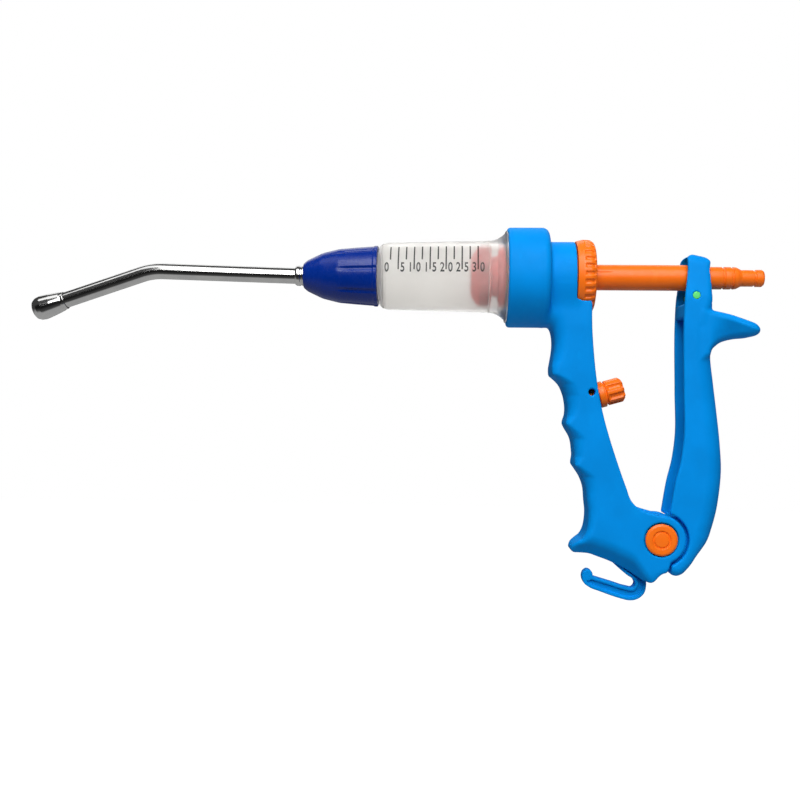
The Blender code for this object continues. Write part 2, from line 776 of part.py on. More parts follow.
def make_gland():
    plug_r = GLAND_HOLE_R - 0.4 * MM
    plug_front = GLAND_HOLE_FLOOR + 0.4 * MM
    recess_r = 10.2 * MM
    recess_floor = -7.6 * MM
    dish_floor = -1.4 * MM
    dish_r = 14.2 * MM
    hole_r = ROD_R + 0.45 * MM
    profile = [
        (RING_REAR, 16.6 * MM),
        (RING_REAR - 1.0 * MM, RING_R),
        (RING_FRONT, RING_R),
        (RING_FRONT, plug_r),
        (plug_front, plug_r),
        (plug_front, recess_r),
        (recess_floor, recess_r),
        (recess_floor, hole_r),
        (dish_floor, hole_r),
        (dish_floor, dish_r),
        (RING_REAR, dish_r),
    ]
    ring = turned("gland_ring", profile, "orange", FINE)
    low = (-1.9 * MM, -0.75 * MM, RING_R - 0.7 * MM)
    high = (4.0 * MM, 0.75 * MM, RING_R + 2.0 * MM)
    cut(ring, radial_cutters("ring_notches", RING_NOTCHES, low, high))

    lip_r = ROD_R + GAP
    wiper_rear = recess_floor - GAP
    wiper_front = plug_front + GAP
    wiper = [
        (wiper_rear, recess_r - 0.4 * MM),
        (wiper_front, recess_r - 0.4 * MM),
        (wiper_front, lip_r + 1.2 * MM),
        (wiper_rear - 1.2 * MM, lip_r),
        (wiper_rear, lip_r),
    ]
    turned("rod_wiper", wiper, "black_rubber")
    bush_rear = GLAND_HOLE_FLOOR - GAP
    flange_rear = SOCKET_FLOOR - GAP
    flange_front = SOCKET_FLOOR - 1.8 * MM
    bush = [
        (bush_rear, BUSH_HOLE_R - GAP),
        (flange_rear, BUSH_HOLE_R - GAP),
        (flange_rear, 12.0 * MM),
        (flange_front, 12.0 * MM),
        (flange_front, lip_r),
        (bush_rear, lip_r),
    ]
    turned("rod_bush", bush, "white")


def make_rod():
    seat_depth = 2.0 * MM
    profile = [
        (ROD_REAR, ROD_NECK_R),
        (ROD_SHOULDER, ROD_NECK_R),
        (ROD_SHOULDER, ROD_R),
        (ROD_FRONT, ROD_R),
        (ROD_FRONT, VALVE_HOLE_R),
        (ROD_FRONT + seat_depth, VALVE_HOLE_R),
        (ROD_FRONT + seat_depth, ROD_BORE_R),
        (ROD_REAR, ROD_BORE_R),
    ]
    turned("piston_rod", profile, "orange")


def make_piston():
    groove_rear = -47.2 * MM
    groove_front = -51.3 * MM
    groove_r = 11.5 * MM
    waist_r = 9.6 * MM
    rear = -38.8 * MM
    chamber_r = 4.4 * MM
    profile = [
        (rear, PISTON_R),
        (-41.6 * MM, PISTON_R),
        (-42.6 * MM, waist_r),
        (-45.8 * MM, waist_r),
        (-46.2 * MM, PISTON_R),
        (groove_rear, PISTON_R),
        (groove_rear, groove_r),
        (groove_front, groove_r),
        (groove_front, PISTON_R),
        (PISTON_EDGE, PISTON_R),
        (-54.4 * MM, 11.2 * MM),
        (PISTON_FRONT, 8.5 * MM),
        (PISTON_FRONT, chamber_r),
        (ROD_FRONT - GAP, chamber_r),
        (ROD_FRONT - GAP, ROD_R + GAP),
        (rear, ROD_R + GAP),
    ]
    turned("piston_head", profile, "pink", FINE)
    seal_rear = groove_rear - GAP
    seal_front = groove_front + GAP
    seal = [
        (seal_rear, 14.0 * MM),
        (-49.2 * MM, 14.45 * MM),
        (seal_front, 14.0 * MM),
        (seal_front, groove_r + GAP),
        (seal_rear, groove_r + GAP),
    ]
    turned("piston_seal", seal, "rubber", FINE)
    cage_rear = -53.8 * MM
    cage_r = chamber_r - GAP
    hole_r = 1.5 * MM
    front = PISTON_FRONT + 0.2 * MM
    cage = [(cage_rear, cage_r), (front, cage_r), (front, hole_r), (cage_rear, hole_r)]
    turned("inlet_cage", cage, "white", COARSE)
    centre = ROD_FRONT - ball_seating() - GAP
    ball("inlet_ball", (centre, 0.0, AXIS_Z), VALVE_BALL_R, "steel")
    spring_rear = centre - VALVE_BALL_R + 0.4 * MM
    compression_spring("inlet_spring", cage_rear + 0.5 * MM, spring_rear, 2.2 * MM, 4, "steel")


def make_tail():
    """The stepped hose tail, with a socket over the rod's end and a sealing washer in it."""
    socket_r = ROD_NECK_R + GAP
    socket_floor = ROD_REAR + 1.3 * MM
    step_r = 3.9 * MM
    profile = [
        (TAIL_REAR, 3.3 * MM),
        (TAIL_REAR - 0.9 * MM, 4.0 * MM),
        (78.4 * MM, 4.0 * MM),
        (78.1 * MM, 3.5 * MM),
        (77.6 * MM, 3.5 * MM),
        (77.4 * MM, step_r),
        (71.5 * MM, step_r),
        (69.4 * MM, 5.1 * MM),
        (67.7 * MM, TAIL_R),
        (67.5 * MM, 4.8 * MM),
        (67.1 * MM, 4.8 * MM),
        (66.9 * MM, TAIL_R),
        (63.7 * MM, TAIL_R),
        (63.4 * MM, 4.8 * MM),
        (62.9 * MM, 4.8 * MM),
        (62.6 * MM, TAIL_R),
        (TAIL_FRONT, TAIL_R),
        (TAIL_FRONT, socket_r),
        (socket_floor, socket_r),
        (socket_floor, TAIL_BORE_R),
        (TAIL_REAR, TAIL_BORE_R),
    ]
    turned("hose_tail", profile, "orange", MEDIUM)
    washer_rear = socket_floor - GAP
    washer_front = ROD_REAR + GAP
    washer = [
        (washer_rear, ROD_NECK_R),
        (washer_front, ROD_NECK_R),
        (washer_front, ROD_BORE_R),
        (washer_rear, ROD_BORE_R),
    ]
    turned("tail_washer", washer, "black_rubber", COARSE)


def make_yoke():
    """A saddle that snaps onto the rod's neck from below and carries the two trunnions."""
    half = 6.5 * MM
    front = ROD_SHOULDER + GAP
    rear = TRUNNION_X + 2.3 * MM
    bottom = AXIS_Z - ROD_NECK_R - 1.7 * MM
    yoke = block("rod_yoke", (front, -half, bottom), (rear, half, AXIS_Z + 4.0 * MM), "steel")
    stubs = pin("trunnion_stubs", TRUNNION_R, -TRUNNION_TIP, TRUNNION_TIP, TRUNNION_X, AXIS_Z)
    join(yoke, stubs)
    inner = ROD_NECK_R + 0.4 * MM
    floor = AXIS_Z - ROD_NECK_R - GAP
    cut(yoke, block("yoke_slot", (40.0 * MM, -inner, floor), (60.0 * MM, inner, AXIS_Z + 10.0 * MM)))


# Lever and pivot


def lever_ring(level, front, rear):
    """One section of the lever: a sharp front edge each side and rounded rear corners."""
    corner = min(LEVER_CORNER, 0.45 * (rear - front))
    points = [(front, -LEVER_HALF, level)]
    for side in (-1.0, 1.0):
        for i in range(4):
            share = i / 3 if side < 0 else 1 - i / 3
            angle = math.pi / 2 * share
            x = rear - corner + corner * math.sin(angle)
            y = side * (LEVER_HALF - corner + corner * math.cos(angle))
            points.append((x, y, level))
    points.append((front, LEVER_HALF, level))
    return points


def web_line():
    """The inner face of the lever's web, from the shelf down to the lugs."""
    top = 56.5 * MM
    bottom = -36.5 * MM
    rows = [(level * MM, rear * MM) for level, _, rear in LEVER_LEVELS]
    inside = [(rear - LEVER_WEB, level) for level, rear in rows if bottom < level < top]
    return [(inside[0][0], top)] + inside + [(inside[-1][0] - 0.8 * MM, bottom)]


def make_lever():
    rings = [lever_ring(*(value * MM for value in row)) for row in LEVER_LEVELS]
    lever = loft("lever", rings, "blue")
    join(lever, slab("thumb_wing", scaled(WING_OUTLINE), WING_HALF))
    inner = LEVER_HALF - LEVER_WALL
    line = web_line()
    front = 20.0 * MM
    channel = [(front, line[0][1])] + line + [(front, line[-1][1])]
    cut(lever, slab("lever_channel", channel, inner))
    cut(lever, slab("head_passage", scaled(head_passage_outline()), inner))
    lug_half = CHEEK_INNER - GAP
    outside = 13.0 * MM
    clear_r = CHEEK_R + 0.65 * MM
    for side, y in (("near", -1.0), ("far", 1.0)):
        low, high = sorted((y * lug_half, y * outside))
        cut(lever, pin("cheek_clearance_" + side, clear_r, low, high, PIVOT_X, PIVOT_Z, None, FINE))
        cut(lever, trunnion_slot("trunnion_slot_" + side, y))
    cut(lever, slab("spring_pocket", spring_pocket_outline(), 3.6 * MM))
    cut(lever, pin("lug_bore", BOLT_R + GAP, -outside, outside, PIVOT_X, PIVOT_Z))
    pin_hole = HEAD_PIN_R + GAP
    cut(lever, pin("head_pin_hole", pin_hole, -outside, outside, HEAD_PIN_X, HEAD_PIN_Z, None, COARSE))
    pad = block("stop_pad", (51.0 * MM, -4.5 * MM, 15.5 * MM), (57.0 * MM, 4.5 * MM, 26.5 * MM))
    join(lever, pad)
    pin_tip = LEVER_HALF + 0.15 * MM
    pin("head_pin", HEAD_PIN_R, -pin_tip, pin_tip, HEAD_PIN_X, HEAD_PIN_Z, "green", COARSE)


def head_passage_outline():
    """The way through the head for the rod, with the bridge left standing over it."""
    return [
        (38.0, 60.0),
        (60.0, 60.0),
        (60.0, 90.0),
        (53.6, 90.0),
        (53.6, 79.9),
        (49.5, 80.8),
        (49.5, 90.0),
        (38.0, 90.0),
    ]


def trunnion_slot(name, side):
    """A blind slot in one wall of the head, in line with the pivot at rest."""
    half = TRUNNION_R + TRUNNION_PLAY
    deep = TRUNNION_TIP + 0.3 * MM
    y_low, y_high = sorted((side * 8.0 * MM, side * deep))
    top = TRUNNION_RISE / math.cos(FULL_LEAN) + half
    low = (PIVOT_X - half, y_low, PIVOT_Z + 112.0 * MM)
    high = (PIVOT_X + half, y_high, PIVOT_Z + top)
    pivot = Vector((PIVOT_X, 0.0, PIVOT_Z))
    lean = Matrix.Translation(pivot) @ Matrix.Rotation(REST_LEAN, 4, "Y") @ Matrix.Translation(-pivot)
    return block(name, low, high, None, lean)


def spring_pocket_outline():
    """The space between the lugs for the coil and its two legs."""
    round_part = arc((PIVOT_X, PIVOT_Z), 8.2 * MM, math.radians(-20.0), math.radians(-150.0), 9)
    return scaled([(18.0, -35.5), (53.0, -35.5), (47.5, -46.0)]) + round_part + scaled([(18.0, -53.6)])


def make_pivot():
    head_inner = -CAP_SEAT - GAP
    head_outer = head_inner - 1.9 * MM
    shaft_end = 10.8 * MM
    groove = 0.35 * MM
    bolt = [
        (shaft_end, 0.0),
        (shaft_end, BOLT_R),
        (head_inner, BOLT_R),
        (head_inner, BOLT_CAP_R),
        (head_outer + 0.5 * MM, BOLT_CAP_R),
        (head_outer, BOLT_CAP_R - 0.7 * MM),
        (head_outer, 4.0 * MM),
        (head_outer + groove, 4.0 * MM),
        (head_outer + groove, 3.5 * MM),
        (head_outer, 3.5 * MM),
        (head_outer, 0.0),
    ]
    across = {"start": (PIVOT_X, 0.0, PIVOT_Z), "along": (0.0, 1.0, 0.0)}
    turned("pivot_bolt", bolt, "orange", MEDIUM, **across)
    nut = [
        (-head_outer, 0.0),
        (-head_outer, BOLT_CAP_R - 0.7 * MM),
        (-head_outer - 0.5 * MM, BOLT_CAP_R),
        (-head_inner, BOLT_CAP_R),
        (-head_inner, BOLT_R + GAP),
        (shaft_end + GAP, BOLT_R + GAP),
        (shaft_end + GAP, 0.0),
    ]
    turned("pivot_nut", nut, "orange", MEDIUM, **across)


def make_handle_spring():
    """Two and a third turns round the bolt, with a leg in the grip and a leg on the lever's web."""
    turns = COIL_SWEEP / (2 * math.pi)
    per_turn = 10
    count = round(turns * per_turn)
    half_length = turns * COIL_PITCH / 2
    coil = []
    for i in range(count + 1):
        angle = COIL_START + COIL_SWEEP * i / count
        y = -half_length + 2 * half_length * i / count
        coil.append(Vector((PIVOT_X + COIL_R * math.cos(angle), y, PIVOT_Z + COIL_R * math.sin(angle))))
    end_angle = COIL_START + COIL_SWEEP
    tangent_in = Vector((-math.sin(COIL_START), 0.0, math.cos(COIL_START)))
    tangent_out = Vector((-math.sin(end_angle), 0.0, math.cos(end_angle)))
    path = [coil[0] - tangent_in * COIL_GRIP_LEG] + coil + [coil[-1] + tangent_out * COIL_LEVER_LEG]
    print("handle_spring least gap to itself, mm:", round(least_gap(coil, COIL_WIRE_R, per_turn - 1) / MM, 2))
    wire("handle_spring", path, COIL_WIRE_R, "steel")


# Dose knob


def make_dose_knob():
    stem_r = 2.9 * MM
    thread_r = 2.4 * MM
    socket_r = stem_r + 0.35 * MM
    socket_floor = 6.3 * MM
    stem_end = -14.0 * MM
    ring_r = KNOB_R + GAP
    knob_end = 11.2 * MM
    knob = [
        (knob_end, 0.0),
        (knob_end, KNOB_R - 1.3 * MM),
        (knob_end - 0.8 * MM, KNOB_R - 0.3 * MM),
        (knob_end - 1.6 * MM, KNOB_R),
        (2.9 * MM, KNOB_R),
        (2.6 * MM, KNOB_R - 0.6 * MM),
        (2.1 * MM, KNOB_R - 0.6 * MM),
        (1.9 * MM, ring_r),
        (-0.6 * MM, ring_r),
        (-0.9 * MM, ring_r - 0.3 * MM),
        (-0.9 * MM, socket_r),
        (socket_floor, socket_r),
        (socket_floor, 0.0),
    ]
    item = on_knob_axis("dose_knob", knob, "orange", MEDIUM)
    for i in range(KNOB_FLUTES):
        cut(item, knob_flute(i, knob_end))
    stem = [(socket_floor - GAP, 0.0), (socket_floor - GAP, stem_r)]
    crest = -4.6 * MM
    while crest - THREAD_PITCH > stem_end:
        stem += [(crest, stem_r), (crest - 0.3 * THREAD_PITCH, thread_r)]
        stem += [(crest - 0.6 * THREAD_PITCH, thread_r), (crest - 0.9 * THREAD_PITCH, stem_r)]
        crest -= THREAD_PITCH
    stem += [(stem_end, stem_r), (stem_end, 0.0)]
    on_knob_axis("dose_screw", stem, "steel", COARSE)
    bush_mouth = -1.3 * MM
    bush_end = -9.7 * MM
    ring_floor = -4.6 * MM
    ring_hole_r = 5.2 * MM
    bush = [
        (bush_mouth, DOSE_BUSH_R),
        (bush_end, DOSE_BUSH_R),
        (bush_end, stem_r + 0.5 * MM),
        (ring_floor, stem_r + 0.5 * MM),
        (ring_floor, ring_hole_r),
        (bush_mouth, ring_hole_r),
    ]
    on_knob_axis("dose_bush", bush, "orange", MEDIUM)
    ring = [
        (-1.5 * MM, ring_hole_r - 0.9 * MM),
        (-2.2 * MM, ring_hole_r - 0.4 * MM),
        (-3.6 * MM, ring_hole_r - 0.4 * MM),
        (-4.2 * MM, ring_hole_r - 0.9 * MM),
        (-4.2 * MM, socket_r),
        (-1.5 * MM, socket_r),
    ]
    on_knob_axis("dose_ring", ring, "black_rubber", COARSE)


def knob_flute(index, knob_end):
    """One round flute cutter along the knob, at its place round the knob's axis."""
    angle = 2 * math.pi * (index + 0.5) / KNOB_FLUTES
    along = Vector((math.cos(KNOB_LEAN), 0.0, math.sin(KNOB_LEAN)))
    across = Vector((0.0, 1.0, 0.0))
    up = across.cross(along)
    reach = KNOB_R + 0.5 * MM
    start = Vector((KNOB_X, 0.0, KNOB_Z)) + (across * math.sin(angle) - up * math.cos(angle)) * reach
    front = 3.6 * MM
    rear = knob_end + 1.0 * MM
    flute_r = 1.2 * MM
    profile = [(rear, 0.0), (rear, flute_r), (front, flute_r), (front, 0.0)]
    return turned(f"knob_flute_{index}", profile, None, 10, start=start, along=along)


def hang(name, place, along, children):
    """An empty on a joint axis, with its Z along the axis, that carries the pieces which move on it."""
    axis = bpy.data.objects.new(name, None)
    axis.empty_display_size = 10.0 * MM
    axis.location = place
    axis.rotation_euler = Vector(along).to_track_quat("Z", "Y").to_euler()
    GUN.objects.link(axis)
    bpy.context.view_layer.update()
    for child in children:
        item = bpy.data.objects[child]
        item.parent = axis
        item.matrix_parent_inverse = axis.matrix_world.inverted()


def hang_moving_pieces():
    barrel_axis = (0.0, 0.0, AXIS_Z)
    knob_axis = (math.cos(KNOB_LEAN), 0.0, math.sin(KNOB_LEAN))
    rod_pieces = ["piston_rod", "piston_head", "piston_seal", "inlet_cage", "inlet_spring"]
    rod_pieces += ["rod_yoke", "hose_tail", "tail_washer", "inlet_ball"]
    nozzle_pieces = ["nozzle_ferrule", "nozzle_tube", "nozzle_tip"]
    dose_pieces = ["dose_knob", "dose_screw", "dose_ring"]
    hang("lever_axis", (PIVOT_X, 0.0, PIVOT_Z), (0.0, -1.0, 0.0), ["lever", "head_pin"])
    hang("rod_axis", barrel_axis, (-1.0, 0.0, 0.0), rod_pieces)
    hang("nozzle_axis", barrel_axis, (-1.0, 0.0, 0.0), nozzle_pieces)
    hang("dose_axis", (KNOB_X, 0.0, KNOB_Z), knob_axis, dose_pieces)


def main():
    clear_scene()
    make_collections()
    make_finishes()
    make_body()
    make_hook()
    make_barrel()
    make_front_nut()
    make_outlet_valve()
    make_ferrule()
    make_nozzle()
    make_gland()
    make_rod()
    make_piston()
    make_tail()
    make_yoke()
    make_lever()
    make_pivot()
    make_handle_spring()
    make_dose_knob()
    hang_moving_pieces()
    print("stroke, mm:", round(STROKE / MM, 3), "lever swing, degrees:", round(math.degrees(LEVER_SWING), 3))


main()
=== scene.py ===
"""Looks of a hand-held drenching gun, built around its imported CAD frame.

The moulded pieces are distance fields skinned with a fine mesh, and the turned pieces are outlines spun
about a line. Each one stands for its CAD node and rides on that node's body. Lengths are millimetres until a
mesh is made. The frame is the CAD's: +X from the nozzle to the hose tail, +Z up, the camera on the -Y side.
"""

import functools
import json
import math

import bmesh
import bpy
import numpy as np
from mathutils import Matrix, Vector


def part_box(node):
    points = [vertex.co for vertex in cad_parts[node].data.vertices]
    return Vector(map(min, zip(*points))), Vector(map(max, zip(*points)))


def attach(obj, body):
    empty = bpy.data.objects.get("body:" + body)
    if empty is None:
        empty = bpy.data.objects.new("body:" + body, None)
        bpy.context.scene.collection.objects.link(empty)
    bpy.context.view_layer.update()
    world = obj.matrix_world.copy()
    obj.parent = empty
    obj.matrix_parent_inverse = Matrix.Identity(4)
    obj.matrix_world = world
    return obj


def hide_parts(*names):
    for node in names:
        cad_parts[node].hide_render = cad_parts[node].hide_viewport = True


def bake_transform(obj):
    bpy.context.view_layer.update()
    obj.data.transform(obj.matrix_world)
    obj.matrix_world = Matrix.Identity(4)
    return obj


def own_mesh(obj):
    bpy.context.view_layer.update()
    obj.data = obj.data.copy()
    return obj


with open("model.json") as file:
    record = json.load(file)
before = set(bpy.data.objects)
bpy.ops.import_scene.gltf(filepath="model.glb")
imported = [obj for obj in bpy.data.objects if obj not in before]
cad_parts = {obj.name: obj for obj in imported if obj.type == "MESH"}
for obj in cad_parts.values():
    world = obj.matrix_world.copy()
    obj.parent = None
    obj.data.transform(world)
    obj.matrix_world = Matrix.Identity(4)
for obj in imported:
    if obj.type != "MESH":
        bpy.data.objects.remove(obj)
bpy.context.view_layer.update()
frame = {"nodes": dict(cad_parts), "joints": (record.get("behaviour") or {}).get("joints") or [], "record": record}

MM = 0.001
JOINTS = {joint["name"]: joint for joint in frame["joints"]}
BODY_OF = {node: body for body, nodes in frame["record"]["behaviour"]["bodies"].items() for node in nodes}

# A length beyond every piece, and the close and the looser clearance between pieces
FAR = 300.0
GAP = 0.3
FIT = 0.4


def span(node):
    """Lowest and highest corner of a CAD node."""
    low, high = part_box(node)
    return np.array(low) / MM, np.array(high) / MM


def ends(node):
    """Front and rear end of a CAD node along the barrel."""
    low, high = span(node)
    return low[0], high[0]


# Places that the frame gives; the hose tail stops a little short of its node
AXIS_Z = (span("barrel")[0][2] + span("barrel")[1][2]) / 2
SPIGOT_FRONT, BARREL_REAR = ends("barrel")
NUT_FRONT, NUT_REAR = ends("front_nut")
RING_PLUG, RING_REAR = ends("gland_ring")
ROD_FRONT, ROD_REAR = ends("piston_rod")
TAIL_FRONT = ends("hose_tail")[0]
TAIL_REAR = ends("hose_tail")[1] - 0.6
PISTON_FRONT, PISTON_REAR = ends("piston_head")
TRUNNION_X = sum(ends("rod_yoke")) / 2
PIVOT_X, _, PIVOT_Z = np.array(JOINTS["lever_hinge"]["pos_m"]) / MM
KNOB_POINT = np.array(JOINTS["dose_turn"]["pos_m"]) / MM
KNOB_AXIS = np.array(JOINTS["dose_turn"]["axis"])

# Body
COLLAR_FRONT = -38.6
COLLAR_REAR = -18.9
COLLAR_R = 23.7
COLLAR_DROP = 0.4
NECK_REAR = -6.6
NECK_R = 17.05
SOCKET_FLOOR = -23.0
SOCKET_R = 21.6
BUSH_HOLE_R = 8.7
GLAND_HOLE_R = 14.0
GLAND_HOLE_FLOOR = -12.0
RING_R = 17.65
GRIP_TOP = 66.0
GRIP_WALL = 2.8
GRIP_HOLLOW = (-33.0, 46.5)
FOOT_BEVEL = 6.5
CHEEK_R = 11.3
CHEEK_HALF = 11.5
CHEEK_INNER = 6.85
LUG_R = 11.9
BOLT_R = 3.5
CAP_R = 7.4
CAP_SEAT = 9.9
HOOK_HALF = 3.2
BUSH_SEAT_R = 6.8
BUSH_SEAT_FLOOR = -10.5

# Lever
LEVER_HALF = 11.0
LEVER_WALL = 2.5
LEVER_WEB = 2.8
LEVER_CHANNEL = (-39.0, 54.0)
WING_END = 80.4
HEAD_HALF = 8.8
PIN_X = 48.8
PIN_Z = 64.2
PIN_R = 1.75
TRUNNION_END = 8.1
HEAD_FLOOR_Z = 60.8
ARCH_Z = 75.0

# Round pieces, with the places where the barrel's taper starts and ends as (station, radius)
BORE_R = 14.7
BARREL_WIDE = (-46.2, 17.0)
BARREL_SLIM = (-95.1, 15.95)
SPIGOT_R = 11.5
SHOULDER = NUT_REAR + 0.4
ROD_R = 6.05
ROD_NECK_R = 4.2
ROD_SHOULDER = 46.6
TUBE_R = 3.8
TUBE_BORE_R = 2.8
TUBE_REAR = -133.3
TUBE_RISE = 2.0
RISE_START = -141.0
BEND_X = -210.0
BEND_DOWN = math.radians(18.8)
BEND_R = 30.0
TIP_FROM_BEND = 44.8
TIP_SOCKET = 6.0
KNOB_R = 5.9
CAP_THICK = 1.9

# Printed scale, with marks that run down between these angles above the line that faces the camera
SCALE_VOLUME = 30
MARK_VOLUME = 2.5
NUMERAL_VOLUME = 5
SCALE_ZERO = -97.0
SCALE_FULL = -52.5
SCALE_TOP = 52.0
SHORT_MARK = 22.5
LONG_MARK = 5.3
NUMERAL_ANGLE = 8.4
NUMERAL_HEIGHT = 4.4
NUMERAL_NARROW = 0.68
UNITS_OFFSET = 2.0
TENS_OFFSET = -1.75

# Radius of the grip's front edges by height: small at each finger crest, larger in the scoop below it
NOSE_RADII = [
    (-54.0, 2.6), (-44.0, 4.0), (-30.0, 5.0), (-21.0, 6.5), (-15.4, 2.2), (-11.5, 5.0), (-3.0, 6.8),
    (3.6, 2.2), (8.0, 5.0), (17.0, 7.5), (22.5, 6.4), (26.8, 2.4), (33.0, 5.5), (46.0, 7.0), (58.0, 9.0),
]

# Side outlines, as runs of points that a curve goes through; the finger crests are corners between runs
GRIP_FRONT = [
    [
        (-22.0, 60.0), (-19.6, 52.0), (-17.7, 49.0), (-16.7, 45.7), (-16.3, 41.9), (-16.6, 37.1),
        (-17.2, 33.2), (-17.6, 29.9), (-17.4, 27.2),
    ],
    [
        (-17.1, 26.4), (-15.1, 24.6), (-12.8, 21.8), (-11.2, 18.0), (-10.2, 14.1), (-9.8, 10.8),
        (-9.9, 7.9), (-10.6, 5.0), (-10.7, 4.0),
    ],
    [
        (-10.6, 3.2), (-9.7, 1.2), (-8.1, -1.7), (-7.0, -5.0), (-6.5, -8.4), (-6.2, -11.2),
        (-6.4, -14.1), (-6.4, -15.2),
    ],
    [
        (-6.2, -15.9), (-4.7, -18.2), (-2.8, -21.4), (-1.0, -26.0), (-0.2, -32.7), (0.4, -38.4),
        (0.2, -42.3), (-0.6, -46.4), (-2.2, -49.4), (-4.9, -51.4), (-6.7, -53.0), (-7.6, -54.9),
    ],
]
GRIP_UNDER = [
    (-3.0, -56.8), (1.4, -57.2), (5.2, -58.5), (9.5, -60.0), (18.5, -64.2), (27.4, -69.3), (29.4, -69.8),
    (31.2, -69.0), (32.8, -67.2), (34.4, -65.8), (36.9, -64.9),
]
GRIP_REAR = [
    (0.6, 60.0), (0.7, 50.0), (1.6, 38.0), (3.2, 24.5), (6.1, 9.7), (9.2, -1.5), (12.8, -12.5),
    (17.4, -25.2), (20.2, -32.0), (23.2, -34.9), (26.2, -36.3), (29.0, -37.2),
]
LEVER_FRONT = [
    (45.1, 82.0), (44.9, 76.0), (43.5, 61.0), (43.2, 52.8), (43.5, 20.0), (43.7, -3.0), (42.3, -13.5),
    (40.1, -22.7), (37.6, -37.6),
]
LEVER_BACK = [
    (56.2, 80.0), (56.8, 58.0), (57.2, 45.0), (57.0, 36.5), (58.4, 24.0), (60.2, 10.0), (61.9, -5.0),
    (62.6, -17.0), (61.8, -28.0), (59.7, -40.0), (56.3, -49.9), (50.6, -57.7), (46.5, -63.3),
    (43.9, -65.8), (41.2, -66.6), (39.0, -66.0),
]
WING = [
    (50.0, 58.6), (56.7, 57.6), (61.0, 56.7), (65.6, 55.6), (69.5, 54.3), (74.3, 52.6), (77.8, 51.3),
    (79.8, 50.0), (80.4, 48.5), (79.6, 47.0), (77.0, 45.9), (68.9, 44.7), (64.4, 43.7), (61.1, 42.5),
    (58.7, 40.9), (57.2, 39.6), (55.6, 36.0), (50.0, 33.0),
]
HOOK_SLOT = [
    (9.0, -58.2), (19.8, -67.5), (22.6, -69.5), (23.4, -71.4), (22.3, -73.2), (19.4, -72.9),
    (12.4, -70.9), (3.4, -68.3),
]
HOOK_OUTSIDE = [
    (3.4, -68.3), (3.5, -67.2), (2.9, -65.8), (1.0, -65.0), (-0.9, -66.3), (-1.5, -68.6), (-0.5, -71.6),
    (2.0, -73.5), (6.8, -75.3), (17.4, -78.7), (20.2, -79.3), (23.2, -79.1), (26.2, -77.6),
    (28.0, -75.3), (28.6, -72.6), (28.4, -67.5),
]


# Plane outlines


def smooth(points, per_span=8):
    """A curve through the points, with slopes that suit uneven spacing."""
    p = np.array(points, float)
    gap = np.linalg.norm(np.diff(p, axis=0), axis=1)[:, None]
    chord = np.diff(p, axis=0) / gap
    middle = (gap[1:] * chord[:-1] + gap[:-1] * chord[1:]) / (gap[:-1] + gap[1:])
    slope = np.vstack([chord[:1], middle, chord[-1:]])
    t = np.linspace(0.0, 1.0, per_span, endpoint=False)[:, None]
    curve = []
    for i in range(len(gap)):
        start = (2 * t**3 - 3 * t**2 + 1) * p[i] + (t**3 - 2 * t**2 + t) * gap[i] * slope[i]
        end = (3 * t**2 - 2 * t**3) * p[i + 1] + (t**3 - t**2) * gap[i] * slope[i + 1]
        curve.append(start + end)
    return np.vstack(curve + [p[-1:]])


def arc(centre, radius, start, end, count=24):
    """Points on an arc, with angles in degrees from the first axis towards the second."""
    turn = np.radians(np.linspace(start, end, count))
    return np.column_stack([centre[0] + radius * np.cos(turn), centre[1] + radius * np.sin(turn)])


def rounded(corners, steps=5):
    """A closed outline from (x, y, radius) corners turned on arcs, and (x, y) corners left sharp."""
    p = np.array([corner[:2] for corner in corners], float)
    outline = []
    for i, corner in enumerate(corners):
        here = p[i]
        if len(corner) == 2:
            outline.append(here)
            continue
        radius = corner[2]
        back = p[i - 1] - here
        ahead = p[(i + 1) % len(p)] - here
        back /= np.linalg.norm(back)
        ahead /= np.linalg.norm(ahead)
        half = math.acos(np.clip(back @ ahead, -1.0, 1.0)) / 2
        middle = back + ahead
        centre = here + middle / np.linalg.norm(middle) * radius / math.sin(half)
        first = here + back * radius / math.tan(half) - centre
        last = here + ahead * radius / math.tan(half) - centre
        start = math.atan2(first[1], first[0])
        sweep = (math.atan2(last[1], last[0]) - start + math.pi) % (2 * math.pi) - math.pi
        for k in range(steps + 1):
            turn = start + sweep * k / steps
            outline.append(centre + radius * np.array([math.cos(turn), math.sin(turn)]))
    return np.array(outline)


def fine(outline, longest, above):
    """The outline with its edges beyond a radius split, so that none there is longer than asked."""
    points = []
    for a, b in zip(outline, np.roll(outline, -1, axis=0)):
        parts = 1
        if min(a[1], b[1]) > above:
            parts = max(1, math.ceil(np.linalg.norm(b - a) / longest))
        points += [a + (b - a) * i / parts for i in range(parts)]
    return np.array(points)


# Distance fields: negative inside, in millimetres


def outline_distance(x, z, outline):
    """Signed distance in a plane to a closed outline."""
    outline = np.asarray(outline, np.float32)
    nearest = np.full(np.broadcast(x, z).shape, np.inf, np.float32)
    inside = np.zeros(nearest.shape, bool)
    for (ax, az), (bx, bz) in zip(outline, np.roll(outline, -1, axis=0)):
        ex, ez = bx - ax, bz - az
        wx, wz = x - ax, z - az
        share = np.clip((wx * ex + wz * ez) / (ex * ex + ez * ez + 1e-12), 0.0, 1.0)
        nearest = np.minimum(nearest, (wx - share * ex) ** 2 + (wz - share * ez) ** 2)
        if az != bz:
            inside ^= ((az > z) != (bz > z)) & (x < ex * (z - az) / ez + ax)
    return np.where(inside, -1.0, 1.0).astype(np.float32) * np.sqrt(nearest)


def region(x, z, *runs):
    """Signed distance to a closed outline that is given as runs of points."""
    return outline_distance(x, z, np.vstack(runs))


def all_of(*shapes):
    """What is inside every shape, with sharp edges."""
    return functools.reduce(np.maximum, shapes)


